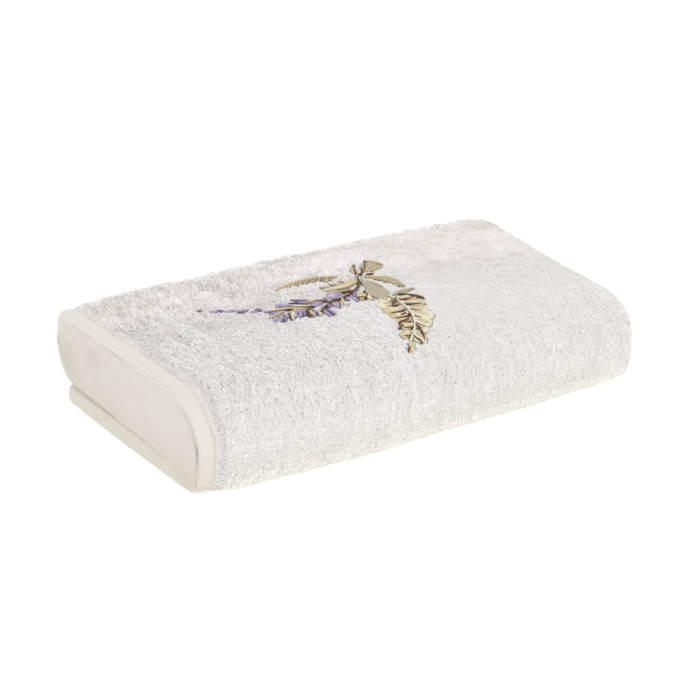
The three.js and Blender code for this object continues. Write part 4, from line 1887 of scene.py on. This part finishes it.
@dataclass(frozen=True)
class ClothFinish:
    """Off-white cotton: woven flat at the hems and looped elsewhere, with painted warm light towards the
    floor and painted shade beside the hem and on the end face.
    """

    ground: Colour = (0.95, 0.93, 0.91, 1)
    white: Colour = (0.72, 0.695, 0.67, 1)
    # cream is the woven cloth's colour under painted warm light near the floor; the next two are colours of
    # painted shade, the second warmer, mixed in random patches.
    cream: Colour = (0.665, 0.625, 0.555, 1)
    inside: Colour = (0.61, 0.58, 0.52, 1)
    warm_shade: Colour = (0.62, 0.55, 0.475, 1)
    weave_pitch: float = 0.0011
    weave_depth: float = 0.00012
    loop_depth: float = 0.0006

    def build(self) -> Material:
        """Make the material of the cloth itself."""
        shader = Shader("terry_cloth")
        hem = shader.stored("hem")
        mottle = shader.noise(shader.place(), 60, 3)
        # Painted warm light near the floor, with random mottling.
        floor_light_and_mottle = shader.near_floor(0.045, 0.8) + 0.25 * mottle + 0.25
        loops = shader.noise(shader.flat_place((1100.0, 300.0, 1.0)), 1.0, 2)
        weave = shader.waves("DIAGONAL", (1 / self.weave_pitch / 6.28,) * 3, 0.6)
        woven = shader.mix(floor_light_and_mottle, self.white, self.cream)
        patches = shader.noise(shader.place(), 62, 2)
        # The colour of painted shade, in random patches of two colours.
        inside = shader.mix(1.6 * patches - 0.4, self.inside, self.warm_shade)
        depth = loops * (1 - hem) * (self.loop_depth / self.weave_depth) + weave * hem
        return shader.finish({
            # Painted shade by the stored amount, over the hem's and the pile ground's colours.
            "Base Color": shader.mix(shader.stored("painted_shade"), shader.mix(hem, self.ground, woven), inside),
            "Roughness": 0.88 + 0.1 * mottle,
            "Normal": shader.bump(depth, 0.6, self.weave_depth),
            "Sheen Weight": 0.15,
            "Sheen Roughness": 0.6,
            "Specular IOR Level": 0.15,
        })


@dataclass(frozen=True)
class PileFinish:
    """Cotton loops: bright at their tips, with painted shade, a little darker and warmer, at their roots and
    by each tuft's stored shading, and painted warm light near the floor.
    """

    tip: Colour = (0.98, 0.952, 0.945, 1)
    # This is the colour of painted shade; cream below is that of painted warm light near the floor.
    painted_shade: Colour = (0.87, 0.835, 0.815, 1)
    cream: Colour = (0.955, 0.93, 0.85, 1)
    softness: float = 0.0012

    def build(self) -> Material:
        """Make the material of the pile."""
        shader = Shader("terry_pile")
        tall, tone = shader.stored("tall"), shader.stored("tone")
        mottle = shader.noise(shader.place(), 45, 2)
        # Painted warm light near the floor, with random mottling.
        bright = shader.mix(shader.near_floor(0.036, 1.0) + 0.2 * mottle, self.tip, self.cream)
        return shader.finish({
            # Painted shade at the roots, and each tuft's stored painted light and shade with its random part.
            "Base Color": shader.mix(tone + 0.25 * tall, self.painted_shade, bright),
            "Subsurface Weight": 0.5,
            "Subsurface Radius": (1.0, 1.0, 1.0),
            "Subsurface Scale": self.softness,
            "Roughness": 0.85 + 0.15 * tone,
            "Sheen Weight": 0.2,
            "Sheen Roughness": 0.5,
            "Specular IOR Level": 0.15,
        })


@dataclass(frozen=True)
class ThreadFinish:
    """Shiny embroidery thread in one colour, with painted light and painted shade in bands across the
    stitches of each shape.
    """

    name: str
    colour: tuple[float, float, float]
    contrast: float = 0.36
    pitch: float = 0.0013

    def build(self) -> Material:
        """Make the thread's material."""
        shader = Shader(self.name)
        strands = shader.waves("X", (math.tau / 20 / self.pitch, 0.0, 0.0), 0.8)
        patches = shader.noise(shader.place(), 420, 2)
        # Shaded and lit copies of the thread's one colour, for the painted light and shade on its stitches.
        dark = tuple(part * (1 - self.contrast) for part in self.colour) + (1,)
        light = tuple(min(part * (1 + 0.5 * self.contrast), 1) for part in self.colour) + (1,)
        return shader.finish({
            "Base Color": shader.mix(0.6 * strands + 0.4 * patches, dark, light),
            "Roughness": 0.45 + 0.2 * patches,
            "Normal": shader.bump(strands, 0.5, 0.00012),
            "Sheen Weight": 0.05,
            "Specular IOR Level": 0.3,
        })


# The studio


@dataclass
class Studio:
    """A white floor, soft light from all round, and the camera."""

    azimuth: float = -32.42
    elevation: float = 24.83
    distance: float = 1.965
    target: tuple[float, float, float] = (-0.0062, -0.0100, 0.030)
    lens: float = 150.0
    sensor: float = 36.0
    floor_size: float = 12.0
    sky: float = 1.045
    floor_glow: float = 0.36
    key_power: float = 6.0
    key_size: float = 1.4
    key_place: tuple[float, float, float] = (0.9, -1.3, 1.6)

    def build(self) -> None:
        """Make the floor, the lights and the camera."""
        self._floor()
        self._light()
        self._camera()

    def _floor(self) -> None:
        """A flat white floor just under the towel. It glows a little: painted light that lightens the shadows
        on it and lights the towel from below.
        """
        shader = Shader("floor_white")
        material = shader.finish({
            "Base Color": (0.8, 0.8, 0.8, 1),
            "Roughness": 1.0,
            "Specular IOR Level": 0.0,
            "Emission Color": (1, 1, 1, 1),
            "Emission Strength": self.floor_glow,
        })
        half = self.floor_size / 2 / MM
        corners = np.array([(-half, -half, 0), (half, -half, 0), (half, half, 0), (-half, half, 0)], float)
        floor = new_piece("floor", corners, np.array([[0, 1, 2, 3]]), corners[:, :2] * MM, material)

    def _light(self) -> None:
        """An even white sky and one large soft lamp at the front right."""
        world = bpy.data.worlds.new("studio")
        world.use_nodes = True
        background = world.node_tree.nodes["Background"]
        background.inputs["Color"].default_value = (1, 1, 1, 1)
        background.inputs["Strength"].default_value = self.sky
        bpy.context.scene.world = world
        lamp = bpy.data.lights.new("key", "AREA")
        lamp.energy = self.key_power
        lamp.size = self.key_size
        place = Vector(self.key_place)
        self._stand("key", lamp, place, Vector(self.target) - place)
        bpy.context.scene.view_settings.view_transform = "Standard"

    def _camera(self) -> None:
        """A camera that looks at the target from an azimuth, an elevation and a distance."""
        turn, tilt = math.radians(self.azimuth), math.radians(self.elevation)
        back = Vector((math.sin(turn) * math.cos(tilt), -math.cos(turn) * math.cos(tilt), math.sin(tilt)))
        data = bpy.data.cameras.new("camera")
        data.lens = self.lens
        data.sensor_width = self.sensor
        place = Vector(self.target) + back * self.distance
        bpy.context.scene.camera = self._stand("camera", data, place, -back)

    @staticmethod
    def _stand(name: str, data: bpy.types.ID, place: Vector, way: Vector) -> Piece:
        """Stand a lamp or a camera at a place, so that it looks along a way.

        Args:
            name: Its name.
            data: The lamp or the camera.
            place: Where it stands, in metres.
            way: Where it looks.

        Returns:
            Its object.
        """
        made = bpy.data.objects.new(name, data)
        made.location = place
        made.rotation_mode = "QUATERNION"
        made.rotation_quaternion = way.to_track_quat("-Z", "Y")
        bpy.context.scene.collection.objects.link(made)
        return made


def main() -> None:
    logging.basicConfig(level=logging.INFO, format="%(message)s")
    cloth = FoldedCloth()
    skin = Skin(cloth, Relief())
    towel = skin.build(ClothFinish().build())
    sprig = Sprig(skin)
    threads = {thread: ThreadFinish(*thread.value).build() for thread in Thread}
    stitched = sprig.build(threads)
    pile = Pile(skin, PileFinish().build(), sprig.cover).build()
    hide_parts("towel")
    for piece in (towel, *pile, *stitched):
        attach(piece, BODY)
        "thread" if piece in stitched else "terry"
        log.info("%s: %d faces", piece.name, len(piece.data.polygons))
    Studio().build()


if __name__ == "__main__":
    main()
